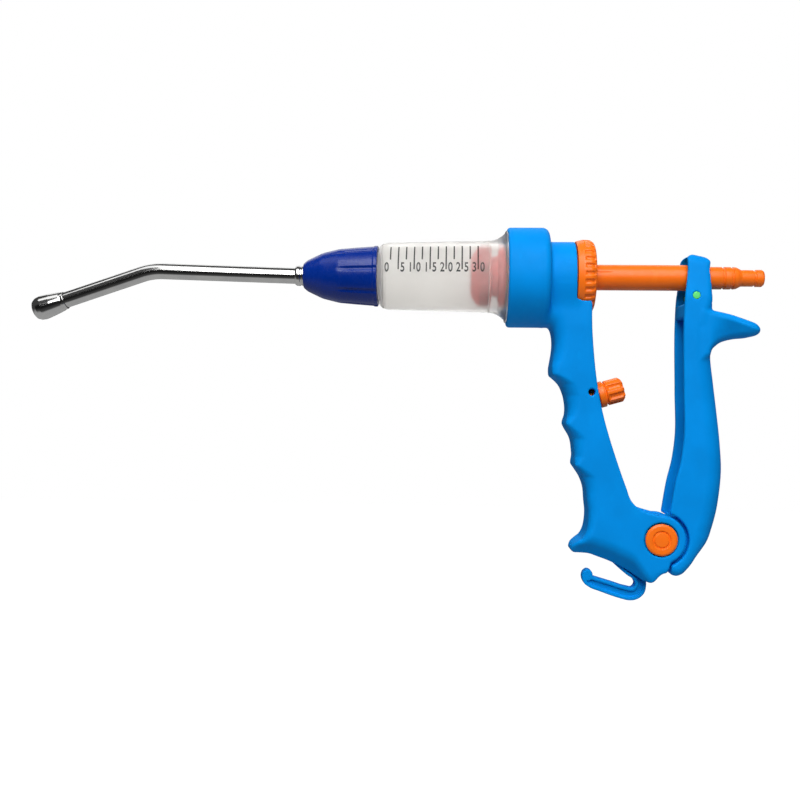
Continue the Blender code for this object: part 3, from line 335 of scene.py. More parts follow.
def both(a, b, radius):
    """What is inside both shapes, with the edge between them turned on a radius."""
    flat = np.minimum(np.maximum(a, b), -radius)
    return flat + np.hypot(np.maximum(a + radius, 0.0), np.maximum(b + radius, 0.0))


def either(a, b, reach):
    """What is inside one shape or the other, with a fillet between them."""
    share = np.clip(0.5 + 0.5 * (b - a) / reach, 0.0, 1.0)
    return b + (a - b) * share - reach * share * (1.0 - share)


def less(a, b, reach=0.5):
    """The first shape with the second cut out, and the new edge softened."""
    return -either(-a, b, reach)


def between(value, low, high):
    return np.maximum(low - value, value - high)


def step_up(value, low, high):
    """0 below low, 1 above high, and a smooth change from one to the other."""
    share = np.clip((value - low) / (high - low), 0.0, 1.0)
    return share * share * (3.0 - 2.0 * share)


# Meshes


def add(name, data):
    """A new object in the scene."""
    item = bpy.data.objects.new(name, data)
    bpy.context.scene.collection.objects.link(item)
    return item


def to_object(name, points, faces, material, normals=None, sharp=None, weld=False):
    """A mesh object from points in millimetres, smooth except along edges sharper than asked."""
    mesh = bpy.data.meshes.new(name)
    mesh.from_pydata((np.asarray(points) * MM).tolist(), [], faces)
    mesh.materials.append(material)
    if weld:
        close_up(mesh)
    mesh.shade_smooth()
    if sharp is not None:
        mesh.set_sharp_from_angle(angle=math.radians(sharp))
    if normals is not None:
        mesh.normals_split_custom_set_from_vertices(normals.tolist())
    return add(name, mesh)


def close_up(mesh):
    """Joins points that meet on an axis and turns every face outwards."""
    near = 0.002 * MM
    shape = bmesh.new()
    shape.from_mesh(mesh)
    bmesh.ops.remove_doubles(shape, verts=shape.verts, dist=near)
    bmesh.ops.dissolve_degenerate(shape, edges=shape.edges, dist=near)
    bmesh.ops.recalc_face_normals(shape, faces=shape.faces)
    shape.to_mesh(mesh)
    shape.free()


CELL_CORNERS = list(np.ndindex(2, 2, 2))


def sample(volume, places):
    """Values of a volume between its grid points, at places counted in grid steps."""
    base = np.clip(places.astype(int), 0, np.array(volume.shape[:3]) - 2)
    part = places - base
    total = 0.0
    for corner in CELL_CORNERS:
        weight = np.prod(np.where(corner, part, 1.0 - part), axis=1)
        i, j, k = (base + corner).T
        value = volume[i, j, k]
        total = total + (weight * value.T).T
    return total


def edge_crossings(values, cells):
    """The mean of where the surface crosses each cell's edges, counted in grid steps."""
    total = np.zeros(cells.shape, np.float32)
    hits = np.zeros(len(cells), np.float32)
    for start in CELL_CORNERS:
        for axis in range(3):
            if start[axis]:
                continue
            along = np.eye(3, dtype=int)[axis]
            v0 = values[tuple((cells + start).T)]
            v1 = values[tuple((cells + start + along).T)]
            crossed = (v0 < 0.0) != (v1 < 0.0)
            share = np.where(crossed, v0 / np.where(crossed, v0 - v1, 1.0), 0.0)
            total += crossed[:, None] * (start + share[:, None] * along)
            hits += crossed
    return cells + total / hits[:, None]


def crossing_faces(inside, number):
    """One face round each grid edge that the surface crosses, between the numbered points of its cells."""
    faces = []
    for axis in range(3):
        b, c = np.eye(3, dtype=int)[[(axis + 1) % 3, (axis + 2) % 3]]
        lower = np.take(inside, range(number.shape[axis]), axis)
        upper = np.take(inside, range(1, number.shape[axis] + 1), axis)
        for leaving in (True, False):
            edge = np.argwhere((lower != upper) & (lower == leaving))
            ring = [edge - b - c, edge - c, edge, edge - b]
            quads = np.column_stack([number[tuple(cell.T)] for cell in ring])
            faces.append(quads if leaving else quads[:, ::-1])
    return np.vstack(faces).tolist()


def skin(name, field, low, high, step, material):
    """A closed mesh on the zero level of a distance field, with its normals from the field's slope."""
    axes = [np.arange(a, b + step, step, dtype=np.float32) for a, b in zip(low, high)]
    values = field(*np.meshgrid(*axes, indexing="ij", sparse=True))
    inside = values < 0.0
    nx, ny, nz = np.array(values.shape) - 1
    count = np.zeros((nx, ny, nz), np.uint8)
    for a, b, c in CELL_CORNERS:
        count += inside[a : a + nx, b : b + ny, c : c + nz]
    active = (count > 0) & (count < 8)
    cells = np.argwhere(active)
    places = edge_crossings(values, cells)

    # Two steps along the slope put each point on the surface
    slope = np.stack(np.gradient(values, step), axis=-1)
    for _ in range(2):
        normals = sample(slope, places)
        steep = np.maximum((normals**2).sum(axis=1), 0.05)
        off = np.clip(sample(values, places) / steep, -0.5 * step, 0.5 * step)
        places = places - off[:, None] * normals / step
    normals = sample(slope, places)
    normals /= np.maximum(np.linalg.norm(normals, axis=1), 1e-6)[:, None]

    number = np.full(active.shape, -1, np.int32)
    number[active] = np.arange(len(cells))
    points = np.array(low) + places * step
    return to_object(name, points, crossing_faces(inside, number), material, normals)


def straight(start, along):
    """A straight line for a turned piece: the centre at each station, and two directions across it."""
    along = np.array(along, float)
    along /= np.linalg.norm(along)
    towards_camera = np.array([0.0, -1.0, 0.0])
    if abs(along[1]) > 0.9:
        towards_camera = np.array([1.0, 0.0, 0.0])
    above = np.cross(towards_camera, along)

    def line(station):
        centre = np.array(start) + station[:, None] * along
        return centre, np.broadcast_to(towards_camera, centre.shape), np.broadcast_to(above, centre.shape)

    return line


BARREL_LINE = straight((0.0, 0.0, AXIS_Z), (1.0, 0.0, 0.0))
PIVOT_LINE = straight((PIVOT_X, 0.0, PIVOT_Z), (0.0, 1.0, 0.0))
KNOB_LINE = straight(KNOB_POINT, KNOB_AXIS)


def turned(name, outline, material, line=BARREL_LINE, around=128, shape=None, sharp=38.0):
    """A closed (station, radius) outline spun about a line, with its radius changed by shape if given."""
    outline = np.asarray(outline, float)
    turn = 2 * math.pi * np.arange(around) / around
    radius = np.repeat(outline[:, 1:], around, axis=1)
    if shape is not None:
        radius = shape(outline[:, :1], radius, turn[None, :])
    centre, first, second = line(outline[:, 0])
    across = first[:, None] * np.cos(turn)[None, :, None] + second[:, None] * np.sin(turn)[None, :, None]
    points = (centre[:, None] + radius[:, :, None] * across).reshape(-1, 3)
    row = np.arange(len(outline))[:, None] * around
    next_row = np.roll(row, -1, axis=0)
    column = np.arange(around)[None, :]
    next_column = np.roll(column, -1, axis=1)
    faces = np.stack([row + column, row + next_column, next_row + next_column, next_row + column], axis=-1)
    return to_object(name, points, faces.reshape(-1, 4).tolist(), material, sharp=sharp, weld=True)


def groove_share(turn, count, first, radius, width, soft):
    """1 in the middle of evenly spaced grooves along a round piece, 0 beyond their edges."""
    pitch = 2 * math.pi / count
    off = (turn - first + pitch / 2) % pitch - pitch / 2
    return 1.0 - step_up(np.abs(off) * radius, width / 2 - soft, width / 2 + soft)


def wire(name, path, radius, material, around=12):
    """A round wire along a path, with closed ends."""
    path = np.asarray(path, float)
    tangent = np.gradient(path, axis=0)
    tangent /= np.linalg.norm(tangent, axis=1)[:, None]
    side = np.cross(tangent[0], (0.3, 0.9, 0.2))
    points = []
    for place, ahead in zip(path, tangent):
        side = side - ahead * (side @ ahead)
        side /= np.linalg.norm(side)
        other = np.cross(ahead, side)
        for k in range(around):
            turn = 2 * math.pi * k / around
            points.append(place + radius * (math.cos(turn) * side + math.sin(turn) * other))
    rings = np.arange(len(points)).reshape(len(path), around)
    faces = [rings[0][::-1].tolist(), rings[-1].tolist()]
    for here, ahead in zip(rings, rings[1:]):
        faces += np.column_stack([here, np.roll(here, -1), np.roll(ahead, -1), ahead]).tolist()
    return to_object(name, points, faces, material, sharp=50.0)


def stand_for(item, slot, *nodes):
    """The piece takes the place of CAD nodes, on their body."""
    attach(item, BODY_OF[nodes[0]])
    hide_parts(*nodes)
    return item


# Materials


class Nodes:
    """A node tree, with a call that adds a node to it and gives that node's output."""

    def __init__(self, owner):
        owner.use_nodes = True
        self.nodes = owner.node_tree.nodes
        self.links = owner.node_tree.links

    def feed(self, socket, value):
        if hasattr(value, "is_linked"):
            self.links.new(value, socket)
        else:
            socket.default_value = value

    def add(self, kind, output, *inputs, **settings):
        """A new node's output. Inputs are (socket, value) pairs, and settings are the node's own values."""
        node = self.nodes.new("ShaderNode" + kind)
        for name, value in settings.items():
            setattr(node, name, value)
        for socket, value in inputs:
            self.feed(node.inputs[socket], value)
        return node.outputs[output]

    def spread(self, value, low, high, from_low=0.35, from_high=0.65, **settings):
        limits = ("From Min", from_low), ("From Max", from_high), ("To Min", low), ("To Max", high)
        return self.add("MapRange", "Result", ("Value", value), *limits, **settings)


class Look(Nodes):
    """A material, with calls for what a finish is made of."""

    def __init__(self, name):
        self.material = bpy.data.materials.new(name)
        super().__init__(self.material)
        self.shader = self.nodes["Principled BSDF"]
        self.place = self.add("TexCoord", "Object")

    def noise(self, scale, detail=3.0, stretch=(1.0, 1.0, 1.0)):
        place = self.add("Mapping", "Vector", ("Vector", self.place), ("Scale", stretch))
        return self.add("TexNoise", "Fac", ("Vector", place), ("Scale", scale), ("Detail", detail))

    def mix(self, share, first, second):
        """Two colours, each three numbers or another node's output."""
        colour_a, colour_b, colour_result = 6, 7, 2
        first, second = [(*value, 1.0) if isinstance(value, tuple) else value for value in (first, second)]
        inputs = ("Factor", share), (colour_a, first), (colour_b, second)
        return self.add("Mix", colour_result, *inputs, data_type="RGBA")

    def mottle(self, scale, first, second):
        """Two colours in soft patches."""
        return self.mix(self.spread(self.noise(scale), 0.0, 1.0), first, second)

    def bump(self, height, strength, depth):
        inputs = ("Height", height), ("Strength", strength), ("Distance", depth * MM)
        self.set(normal=self.add("Bump", "Normal", *inputs))

    def set(self, **values):
        for name, value in values.items():
            self.feed(self.shader.inputs[name.replace("_", " ").title().replace("Ior", "IOR")], value)


def moulded(name, colour, worn, roughness, shine=0.15, grain=0.02):
    """Moulded plastic: slow colour drift, faint scuffs from handling, and a fine skin."""
    look = Look(name)
    darker = tuple(0.90 * v for v in colour)
    drift = look.mottle(55.0, darker, colour)
    scuffs = look.spread(look.noise(260.0, 6.0, (1.0, 1.0, 0.35)), 0.0, 0.35, 0.60, 0.75)
    look.set(base_color=look.mix(scuffs, drift, worn))
    look.set(roughness=look.spread(look.noise(420.0), roughness - 0.05, roughness + 0.06))
    look.set(specular_ior_level=shine)
    look.bump(look.noise(3200.0, 2.0), 0.25, grain)
    return look.material


def milky_plastic():
    """Translucent polypropylene: cloudy, with faint flow lines along the barrel."""
    look = Look("milky")
    look.set(base_color=look.mottle(45.0, (0.80, 0.79, 0.77), (0.85, 0.84, 0.82)))
    look.set(roughness=look.spread(look.noise(120.0), 0.37, 0.43))
    look.set(transmission_weight=0.85, ior=1.1)
    look.bump(look.noise(260.0, 1.0, (0.06, 1.0, 1.0)), 0.10, 0.03)
    return look.material


def chrome_plate():
    """Bright plating with faint polishing marks round the tube."""
    look = Look("chrome")
    look.set(base_color=look.mottle(160.0, (0.52, 0.52, 0.52), (0.58, 0.58, 0.57)))
    look.set(metallic=1.0)
    look.set(roughness=look.spread(look.noise(260.0, 2.0, (0.05, 1.0, 1.0)), 0.12, 0.16))
    look.bump(look.noise(400.0, 2.0, (0.05, 1.0, 1.0)), 0.015, 0.004)
    return look.material


def bare_steel():
    look = Look("steel")
    look.set(base_color=look.mottle(300.0, (0.50, 0.50, 0.51), (0.66, 0.66, 0.65)))
    look.set(metallic=1.0)
    look.set(roughness=look.spread(look.noise(1500.0), 0.22, 0.38))
    look.bump(look.noise(4000.0, 2.0), 0.15, 0.01)
    return look.material


def rubber(name, colour):
    look = Look(name)
    dusty = tuple(min(1.0, 1.5 * v + 0.01) for v in colour)
    look.set(base_color=look.mottle(400.0, colour, dusty))
    look.set(roughness=look.spread(look.noise(900.0), 0.55, 0.75))
    look.bump(look.noise(5000.0, 2.0), 0.3, 0.02)
    return look.material


def printed_ink():
    look = Look("ink")
    look.set(base_color=look.mottle(2500.0, (0.010, 0.010, 0.012), (0.03, 0.03, 0.03)))
    look.set(roughness=look.spread(look.noise(1800.0), 0.45, 0.6))
    return look.material


BLUE = moulded("blue", (0.000, 0.268, 0.780), (0.000, 0.31, 0.82), 0.55, 0.05)
DARK_BLUE = moulded("dark_blue", (0.000, 0.022, 0.235), (0.002, 0.03, 0.27), 0.26, 0.25, 0.002)
ORANGE = moulded("orange", (1.0, 0.180, 0.008), (1.0, 0.24, 0.02), 0.34, 0.3)
GREEN = moulded("green", (0.13, 0.72, 0.19), (0.20, 0.80, 0.28), 0.42)
PINK = moulded("pink", (0.68, 0.07, 0.06), (0.74, 0.13, 0.11), 0.45)
WHITE = moulded("white", (0.76, 0.76, 0.74), (0.84, 0.84, 0.82), 0.45)
SEAL = rubber("seal", (0.36, 0.035, 0.035))
BLACK_RUBBER = rubber("black_rubber", (0.018, 0.018, 0.019))
MILKY = milky_plastic()
CHROME = chrome_plate()
STEEL = bare_steel()
INK = printed_ink()


# Moulded pieces


def make_skinned(name, node, slot, material, field, margin, step):
    """A moulded piece in place of its CAD node, skinned with a margin round that node's box."""
    low, high = span(node)
    stand_for(skin(name, field, low - margin, high + margin, step, material), slot, node)


def knob_coordinates(x, y, z):
    """Distance along the knob's axis, across it in the side plane, and out from it."""
    dx, dz = x - KNOB_POINT[0], z - KNOB_POINT[2]
    along = dx * KNOB_AXIS[0] + dz * KNOB_AXIS[2]
    across = dz * KNOB_AXIS[0] - dx * KNOB_AXIS[2]
    return along, across, np.hypot(y, across)


def grip_field(x, y, z):
    """The uncut grip and foot, with the front, rear and side distances that the hollow follows."""
    front_runs = [smooth(run) for run in GRIP_FRONT]
    top_x, toe_x = GRIP_FRONT[0][0][0], GRIP_FRONT[-1][-1][0]
    front = region(x, z, [(top_x, FAR)], *front_runs, [(toe_x, -FAR), (FAR, -FAR), (FAR, FAR)])
    heel_x, heel_z = GRIP_UNDER[-1]
    above = [(FAR, heel_z), (FAR, FAR), (-FAR, FAR)]
    under = region(x, z, [(-FAR, GRIP_UNDER[0][1])], smooth(GRIP_UNDER), above)
    cheek = arc((PIVOT_X, PIVOT_Z), CHEEK_R, 95.0, -66.0)
    ahead = [(heel_x, heel_z), (heel_x, -FAR), (-FAR, -FAR), (-FAR, FAR)]
    rear = region(x, z, [(GRIP_REAR[0][0], FAR)], smooth(GRIP_REAR), cheek, ahead)

    side = np.abs(y) - np.interp(z, (-30.0, 10.0, 50.0), (CHEEK_HALF, 12.1, 13.7)).astype(np.float32)
    nose = np.interp(z, *np.transpose(NOSE_RADII)).astype(np.float32)
    grip = all_of(both(front, side, nose), both(rear, side, 0.9))
    bevel = (under + side + FOOT_BEVEL * (1.0 - step_up(x, 20.0, 33.0))) * math.sqrt(0.5)
    grip = all_of(both(grip, bevel, 2.0), both(under, side, 2.0), both(front, under, 2.6))
    return all_of(grip, both(rear, under, 0.8), z - GRIP_TOP), front, rear, side


def collar_field(x, y, z):
    """The collar round the barrel and the neck behind it."""
    r = np.hypot(y, z - AXIS_Z + COLLAR_DROP)
    collar = both(r - COLLAR_R, x - COLLAR_REAR, 3.2)
    collar = all_of(collar, both(r - COLLAR_R, COLLAR_FRONT - x, 1.4))
    neck = both(r - NECK_R, between(x, COLLAR_REAR - 5.0, NECK_REAR), 0.4)
    return either(collar, neck, 1.6)


def hollow_grip(body, front, rear, side, x, y, z):
    """The body with the grip's hollow, the bridge that holds the dose screw and the handle spring's rest."""
    hollow = all_of(both(front + GRIP_WALL, side + GRIP_WALL, 8.5), between(z, *GRIP_HOLLOW))
    body = less(body, hollow)
    along, across, _ = knob_coordinates(x, y, z)
    bridge = all_of(between(along, -10.0, -1.5), np.abs(across) - 9.0, np.abs(y) - 10.2, rear + 0.6)
    body = either(body, bridge, 1.0)
    rest = all_of(between(x, -1.5, 9.5), np.abs(y) - 3.4, between(z, -25.0, -18.0))
    return either(body, rest, 0.8)


def bore_body(body, x, y, z):
    """The body with its bores on the barrel axis and the seat of the gland ring."""
    r = np.hypot(y, z - AXIS_Z)
    body = less(body, all_of(r - SOCKET_R, x - SOCKET_FLOOR))
    body = less(body, all_of(r - GLAND_HOLE_R, GLAND_HOLE_FLOOR - x))
    body = less(body, r - BUSH_HOLE_R)
    return less(body, all_of(r - RING_R - FIT, NECK_REAR - x), 0.7)


def cut_pivot(body, x, y, z):
    """The body with the slot between its cheeks and the holes of the pivot and the dose screw."""
    clear = LUG_R + FIT
    floor = arc((PIVOT_X, PIVOT_Z), clear, 270.0, 180.0, 12)
    corners = [(22.0, -44.0), (15.5, -37.0), (15.5, -30.0), (60.0, -30.0), (60.0, PIVOT_Z - clear)]
    body = less(body, all_of(region(x, z, floor, corners), np.abs(y) - CHEEK_INNER))
    from_pivot = np.hypot(x - PIVOT_X, z - PIVOT_Z)
    body = less(body, from_pivot - BOLT_R - GAP)
    body = less(body, all_of(from_pivot - CAP_R - 0.5, CAP_SEAT - np.abs(y)), 0.6)
    along, _, out = knob_coordinates(x, y, z)
    body = less(body, all_of(out - BUSH_SEAT_R, BUSH_SEAT_FLOOR - along))
    hole_x, hole_z, hole_r = 1.0, 18.7, 1.65
    side_hole = all_of(np.hypot(x - hole_x, z - hole_z) - hole_r, y + 4.0)
    return less(body, side_hole, 0.4)


def body_field(x, y, z):
    grip, front, rear, side = grip_field(x, y, z)
    body = either(collar_field(x, y, z), grip, 4.5)
    body = hollow_grip(body, front, rear, side, x, y, z)
    return cut_pivot(bore_body(body, x, y, z), x, y, z)


def hook_field(x, y, z):
    """An I-section bar: a rim each side of a thin web, and a solid bulb at the tip."""
    root = [(24.0, -64.5), (12.0, -59.4)]
    outline = np.vstack([smooth(HOOK_SLOT)[:-1], smooth(HOOK_OUTSIDE), root])
    edge = outline_distance(x, z, outline)
    bar = both(edge, np.abs(y) - HOOK_HALF, 0.5)
    tip_x, tip_z, tip_r = 1.0, -67.5, 3.0
    bulb = np.hypot(x - tip_x, z - tip_z) - tip_r
    rim, web_half = 1.6, 2.0
    pocket = all_of(edge + rim, web_half - np.abs(y), -bulb)
    return less(bar, pocket, 0.5)


def make_hook():
    """The hook, skinned from its tip to its root in the foot."""
    low, high = span("belt_hook")
    low[0] -= 1.0
    high[2] = -58.0
    item = skin("belt_hook_bar", hook_field, low - 1.0, high + 1.0, 0.28, BLUE)
    stand_for(item, "blue", "belt_hook")


def lever_blade(x, y, z):
    """The blade and head before anything is cut, with the back and side distances that the rest follows."""
    lugs = [(36.6, -48.0), (38.8, -61.0), (38.9, -FAR), (FAR, -FAR), (FAR, FAR)]
    front = region(x, z, [(LEVER_FRONT[0][0], FAR)], smooth(LEVER_FRONT), lugs)
    back = region(x, z, [(55.4, FAR)], smooth(LEVER_BACK), [(-FAR, LEVER_BACK[-1][1]), (-FAR, FAR)])
    head_top = [(-FAR, 83.9), (48.3, 83.9), (53.9, 82.7), (FAR, 30.0)]
    top = region(x, z, head_top, [(FAR, -FAR), (-FAR, -FAR)])
    side = np.abs(y) - np.interp(z, (64.0, 83.0), (LEVER_HALF, HEAD_HALF)).astype(np.float32)
    corner = np.interp(z, (-60.0, -45.0, 50.0, 62.0), (4.0, 8.5, 8.5, 3.0)).astype(np.float32)
    blade = all_of(both(front, side, 0.9), both(back, side, corner), both(front, back, 0.8))
    blade = all_of(blade, both(top, side, 4.5), both(top, back, 4.0), both(top, front, 3.0))
    return blade, back, side


def lever_wing(x, z, side):
    """The thumb wing, with flanks that lean in below the ridge along its top."""
    ridge = np.interp(x, (56.7, 65.6, WING_END), (57.6, 55.6, 50.0)).astype(np.float32)
    lean_in = 0.55 * step_up(x, 55.0, 66.0) * np.maximum(ridge - 3.0 - z, 0.0)
    plan = both(x - WING_END, (side + 0.1 + lean_in) * 0.9, 6.0)
    return both(outline_distance(x, z, smooth(WING)), plan, 3.0)


def fit_lugs(lever, x, y, z):
    """The lever cut clear of the cheeks, with the lugs that fill the slot between them."""
    from_pivot = np.hypot(x - PIVOT_X, z - PIVOT_Z)
    near_gap, far_gap = 1.5, 0.3
    room = np.where(y < 0.0, near_gap, far_gap)
    cheeks = all_of(from_pivot - CHEEK_R - room, CHEEK_INNER - GAP - np.abs(y))
    lever = less(lever, cheeks, 0.9)
    lug = all_of(from_pivot - LUG_R, np.abs(y) - CHEEK_INNER + GAP)
    return either(lever, lug, 0.6)


def hollow_lever(lever, back, x, y, z):
    """The lever with its channel, the way through its head and the spring's pocket between the lugs."""
    inner = np.abs(y) - LEVER_HALF + LEVER_WALL
    channel = all_of(both(back + LEVER_WEB, inner, 2.4), between(z, *LEVER_CHANNEL))
    lever = less(lever, channel, 0.6)
    arch = np.where(z > ARCH_Z, np.hypot(y, z - ARCH_Z) - LEVER_HALF + LEVER_WALL, inner)
    bridge = all_of(49.5 - x, 80.4 - z)
    chamfer = (HEAD_FLOOR_Z - 0.9 - z + np.maximum(x - 43.6, 0.0)) * math.sqrt(0.5)
    floor = np.minimum(HEAD_FLOOR_Z - z, chamfer)
    lever = less(lever, all_of(arch, floor, -bridge), 0.6)
    pocket_round = arc((PIVOT_X, PIVOT_Z), 8.2, -20.0, -150.0, 12)
    pocket = region(x, z, [(18.0, -33.0), (54.0, -33.0), (47.5, -46.0)], pocket_round, [(18.0, -53.6)])
    return less(lever, all_of(pocket, np.abs(y) - 3.6))


def fit_lever(lever, x, y, z):
    """The lever with the dose screw's stop pad, the slots of the yoke's trunnions and its bores."""
    pad = all_of(between(x, 51.0, 57.0), np.abs(y) - 4.5, between(z, 15.5, 26.5))
    lever = either(lever, pad, 0.8)
    dx, dz = x - PIVOT_X, z - PIVOT_Z
    lean = math.atan2(TRUNNION_X - PIVOT_X, AXIS_Z - PIVOT_Z)
    up = dx * math.sin(lean) + dz * math.cos(lean)
    across = dx * math.cos(lean) - dz * math.sin(lean)
    slot_half, slot_run = 3.0, (112.0, 129.4)
    depth = between(np.abs(y), 8.0, TRUNNION_END + 0.2)
    lever = less(lever, all_of(np.abs(across) - slot_half, between(up, *slot_run), depth))
    lever = less(lever, np.hypot(dx, dz) - BOLT_R - GAP)
    return less(lever, np.hypot(x - PIN_X, z - PIN_Z) - PIN_R, 0.1)


def lever_field(x, y, z):
    blade, back, side = lever_blade(x, y, z)
    lever = either(blade, lever_wing(x, z, side), 1.4)
    lever = hollow_lever(fit_lugs(lever, x, y, z), back, x, y, z)
    return fit_lever(lever, x, y, z)


def yoke_field(x, y, z):
    """The block behind the rod's shoulder, with a trunnion each side for the lever's slots."""
    low, high = span("rod_yoke")
    block_half, trunnion_r = 6.5, 2.5
    section = both(np.abs(y) - block_half, between(z, low[2], high[2]), 0.8)
    block = both(between(x, low[0], high[0]), section, 0.6)
    trunnion = both(np.hypot(x - TRUNNION_X, z - AXIS_Z) - trunnion_r, np.abs(y) - TRUNNION_END, 0.5)
    yoke = either(block, trunnion, 0.6)
    slot = all_of(np.abs(y) - ROD_NECK_R - FIT, AXIS_Z - z)
    bore = np.hypot(y, z - AXIS_Z) - ROD_NECK_R - FIT
    return less(yoke, np.minimum(slot, bore), 0.3)


# Turned pieces


def make_barrel():
    flange_r = 21.2
    outline = rounded([
        (BARREL_REAR, flange_r, 0.4), (COLLAR_FRONT - 0.15, flange_r),
        (COLLAR_FRONT - 0.15, flange_r + 0.7, 0.2), (COLLAR_FRONT - 0.8, flange_r + 0.7, 0.3),
        (COLLAR_FRONT - 0.9, flange_r - 0.6, 0.5), (-41.2, 19.2, 1.2), (-43.2, 17.9, 1.6),
        (*BARREL_WIDE, 3.0), (*BARREL_SLIM, 2.0), (-97.6, 15.2, 1.5), (SHOULDER + 0.4, 13.9, 0.6),
        (SHOULDER, 12.6, 0.2), (SHOULDER, SPIGOT_R, 0.2), (SPIGOT_FRONT, SPIGOT_R, 0.4),
        (SPIGOT_FRONT, 4.0, 0.3), (-101.2, 4.0, 0.3), (-101.2, 9.0, 0.8), (-96.4, BORE_R, 2.0),
        (BARREL_REAR, BORE_R, 0.4),
    ])
    stand_for(turned("graduated_barrel", outline, MILKY, around=144), "milky", "barrel")
    for name, station, radius in (("barrel_lip_front", -97.2, 15.2), ("barrel_lip_rear", -47.2, 16.9)):
        lip = arc((station, radius), 0.32, 0.0, 345.0, 12)
        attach(turned(name, lip, MILKY, around=144), "gun_body")


def barrel_radius(station):
    (wide_x, wide_r), (slim_x, slim_r) = BARREL_WIDE, BARREL_SLIM
    return wide_r + (slim_r - wide_r) * (station - wide_x) / (slim_x - wide_x)


def on_barrel(station, angle, lift):
    """A point just off the barrel's wall, at an angle above the line that faces the camera."""
    r = barrel_radius(station) + lift
    return np.column_stack([station, -r * np.cos(angle), AXIS_Z + r * np.sin(angle)])


def at_volume(volume):
    """Where a volume is printed along the barrel."""
    return SCALE_ZERO + (SCALE_FULL - SCALE_ZERO) * volume / SCALE_VOLUME


def make_marks():
    """A mark for each step of the scale, as thin strips wrapped round the barrel's near side."""
    rows = 20
    half_width, half_depth = 0.3, 0.05
    section = [(half_depth * a, half_width * b) for a, b in ((1, -1), (1, 1), (-1, 1), (-1, -1))]
    points, faces = [], []
    for i in range(1, round(SCALE_VOLUME / MARK_VOLUME) + 1):
        volume = i * MARK_VOLUME
        end = LONG_MARK if volume % NUMERAL_VOLUME == 0 else SHORT_MARK
        angle = np.radians(np.linspace(SCALE_TOP, end, rows))
        strip = rows * (len(points) + np.arange(4))
        points += [on_barrel(np.full(rows, at_volume(volume) + off), angle, lift) for lift, off in section]
        for a, b in zip(strip, np.roll(strip, -1)):
            faces += [[a + k, b + k, b + k + 1, a + k + 1] for k in range(rows - 1)]
        faces += [list(strip + k) for k in (0, rows - 1)]
    marks = to_object("scale_marks", np.vstack(points), faces, INK, weld=True)
    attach(marks, "gun_body")


def make_numerals():
    for volume in range(0, SCALE_VOLUME + 1, NUMERAL_VOLUME):
        digits = str(volume)
        make_digit(f"numeral_{volume}_units", digits[-1], at_volume(volume) + UNITS_OFFSET)
        if len(digits) == 2:
            make_digit(f"numeral_{volume}_tens", digits[0], at_volume(volume) + TENS_OFFSET)


def make_digit(name, digit, station):
    """One digit of a generic number, bent to the barrel."""
    cap_share, longest_edge = 0.70, 0.7
    half_depth, bolder = 0.05, 0.11
    text = bpy.data.curves.new(name, "FONT")
    text.body = digit
    text.size = NUMERAL_HEIGHT / cap_share
    text.align_x = "CENTER"
    text.align_y = "CENTER"
    text.extrude = half_depth
    text.offset = bolder
    flat = add("flat_digit", text)
    bpy.context.view_layer.update()
    mesh = bpy.data.meshes.new_from_object(flat.evaluated_get(bpy.context.evaluated_depsgraph_get()))
    bpy.data.objects.remove(flat)
    shape = bmesh.new()
    shape.from_mesh(mesh)
    bmesh.ops.triangulate(shape, faces=shape.faces)
    for _ in range(2):
        long_edges = [edge for edge in shape.edges if edge.calc_length() > longest_edge]
        bmesh.ops.subdivide_edges(shape, edges=long_edges, cuts=1)
        bmesh.ops.triangulate(shape, faces=shape.faces)
    for vertex in shape.verts:
        x = np.array([station + NUMERAL_NARROW * vertex.co.x])
        angle = math.radians(NUMERAL_ANGLE) + vertex.co.y / barrel_radius(station)
        vertex.co = Vector(on_barrel(x, np.array([angle]), vertex.co.z)[0] * MM)
    bmesh.ops.remove_doubles(shape, verts=shape.verts, dist=0.001 * MM)
    shape.to_mesh(mesh)
    shape.free()
    mesh.materials.clear()
    mesh.materials.append(INK)
    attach(add(name, mesh), "gun_body")


def make_front_nut():
    outline = rounded([
        (NUT_REAR, 14.5, 0.5), (NUT_REAR - 1.6, 14.5, 0.4), (NUT_REAR - 2.2, 14.15, 0.4),
        (-110.6, 13.55, 12.0), (-118.6, 12.85, 12.0), (-126.6, 10.9, 12.0), (-133.8, 7.5, 3.0),
        (NUT_FRONT, 5.9, 0.5), (NUT_FRONT, 5.2, 0.2), (-130.4, 5.2), (-130.4, 7.3), (-127.8, 7.3),
        (-127.8, 8.0), (SPIGOT_FRONT - GAP, 8.0), (SPIGOT_FRONT - GAP, SPIGOT_R + GAP),
        (NUT_REAR, SPIGOT_R + GAP, 0.2),
    ])

    def flutes(station, radius, turn):
        groove = groove_share(turn, 8, math.radians(9.2), 14.0, 1.7, 0.6)
        depth = 0.6 * step_up(station, -121.0, -113.0)
        return radius - depth * groove * (radius > 12.2)

    nut = turned("nose_nut", fine(outline, 0.7, 12.0), DARK_BLUE, around=360, shape=flutes)
    stand_for(nut, "dark_blue", "front_nut")


def make_ferrule():
    outline = rounded([
        (-128.1, 7.0, 0.3), (-130.1, 7.0, 0.3), (-130.1, 4.9), (-136.2, 4.9, 0.2), (-136.6, 4.55, 0.2),
        (-137.2, 4.55, 0.2), (-137.6, 4.85, 0.2), (-139.0, 4.75, 0.4), (-139.8, 4.3, 0.3),
        (-139.8, TUBE_R + GAP), (TUBE_REAR + GAP, TUBE_R + GAP), (TUBE_REAR + GAP, 2.6), (-128.1, 2.6),
    ])
    stand_for(turned("chrome_ferrule", outline, CHROME), "chrome", "nozzle_ferrule")


def heading(angle):
    """A direction towards the nozzle in the side plane, raised by an angle."""
    return np.array([-math.cos(angle), 0.0, math.sin(angle)])


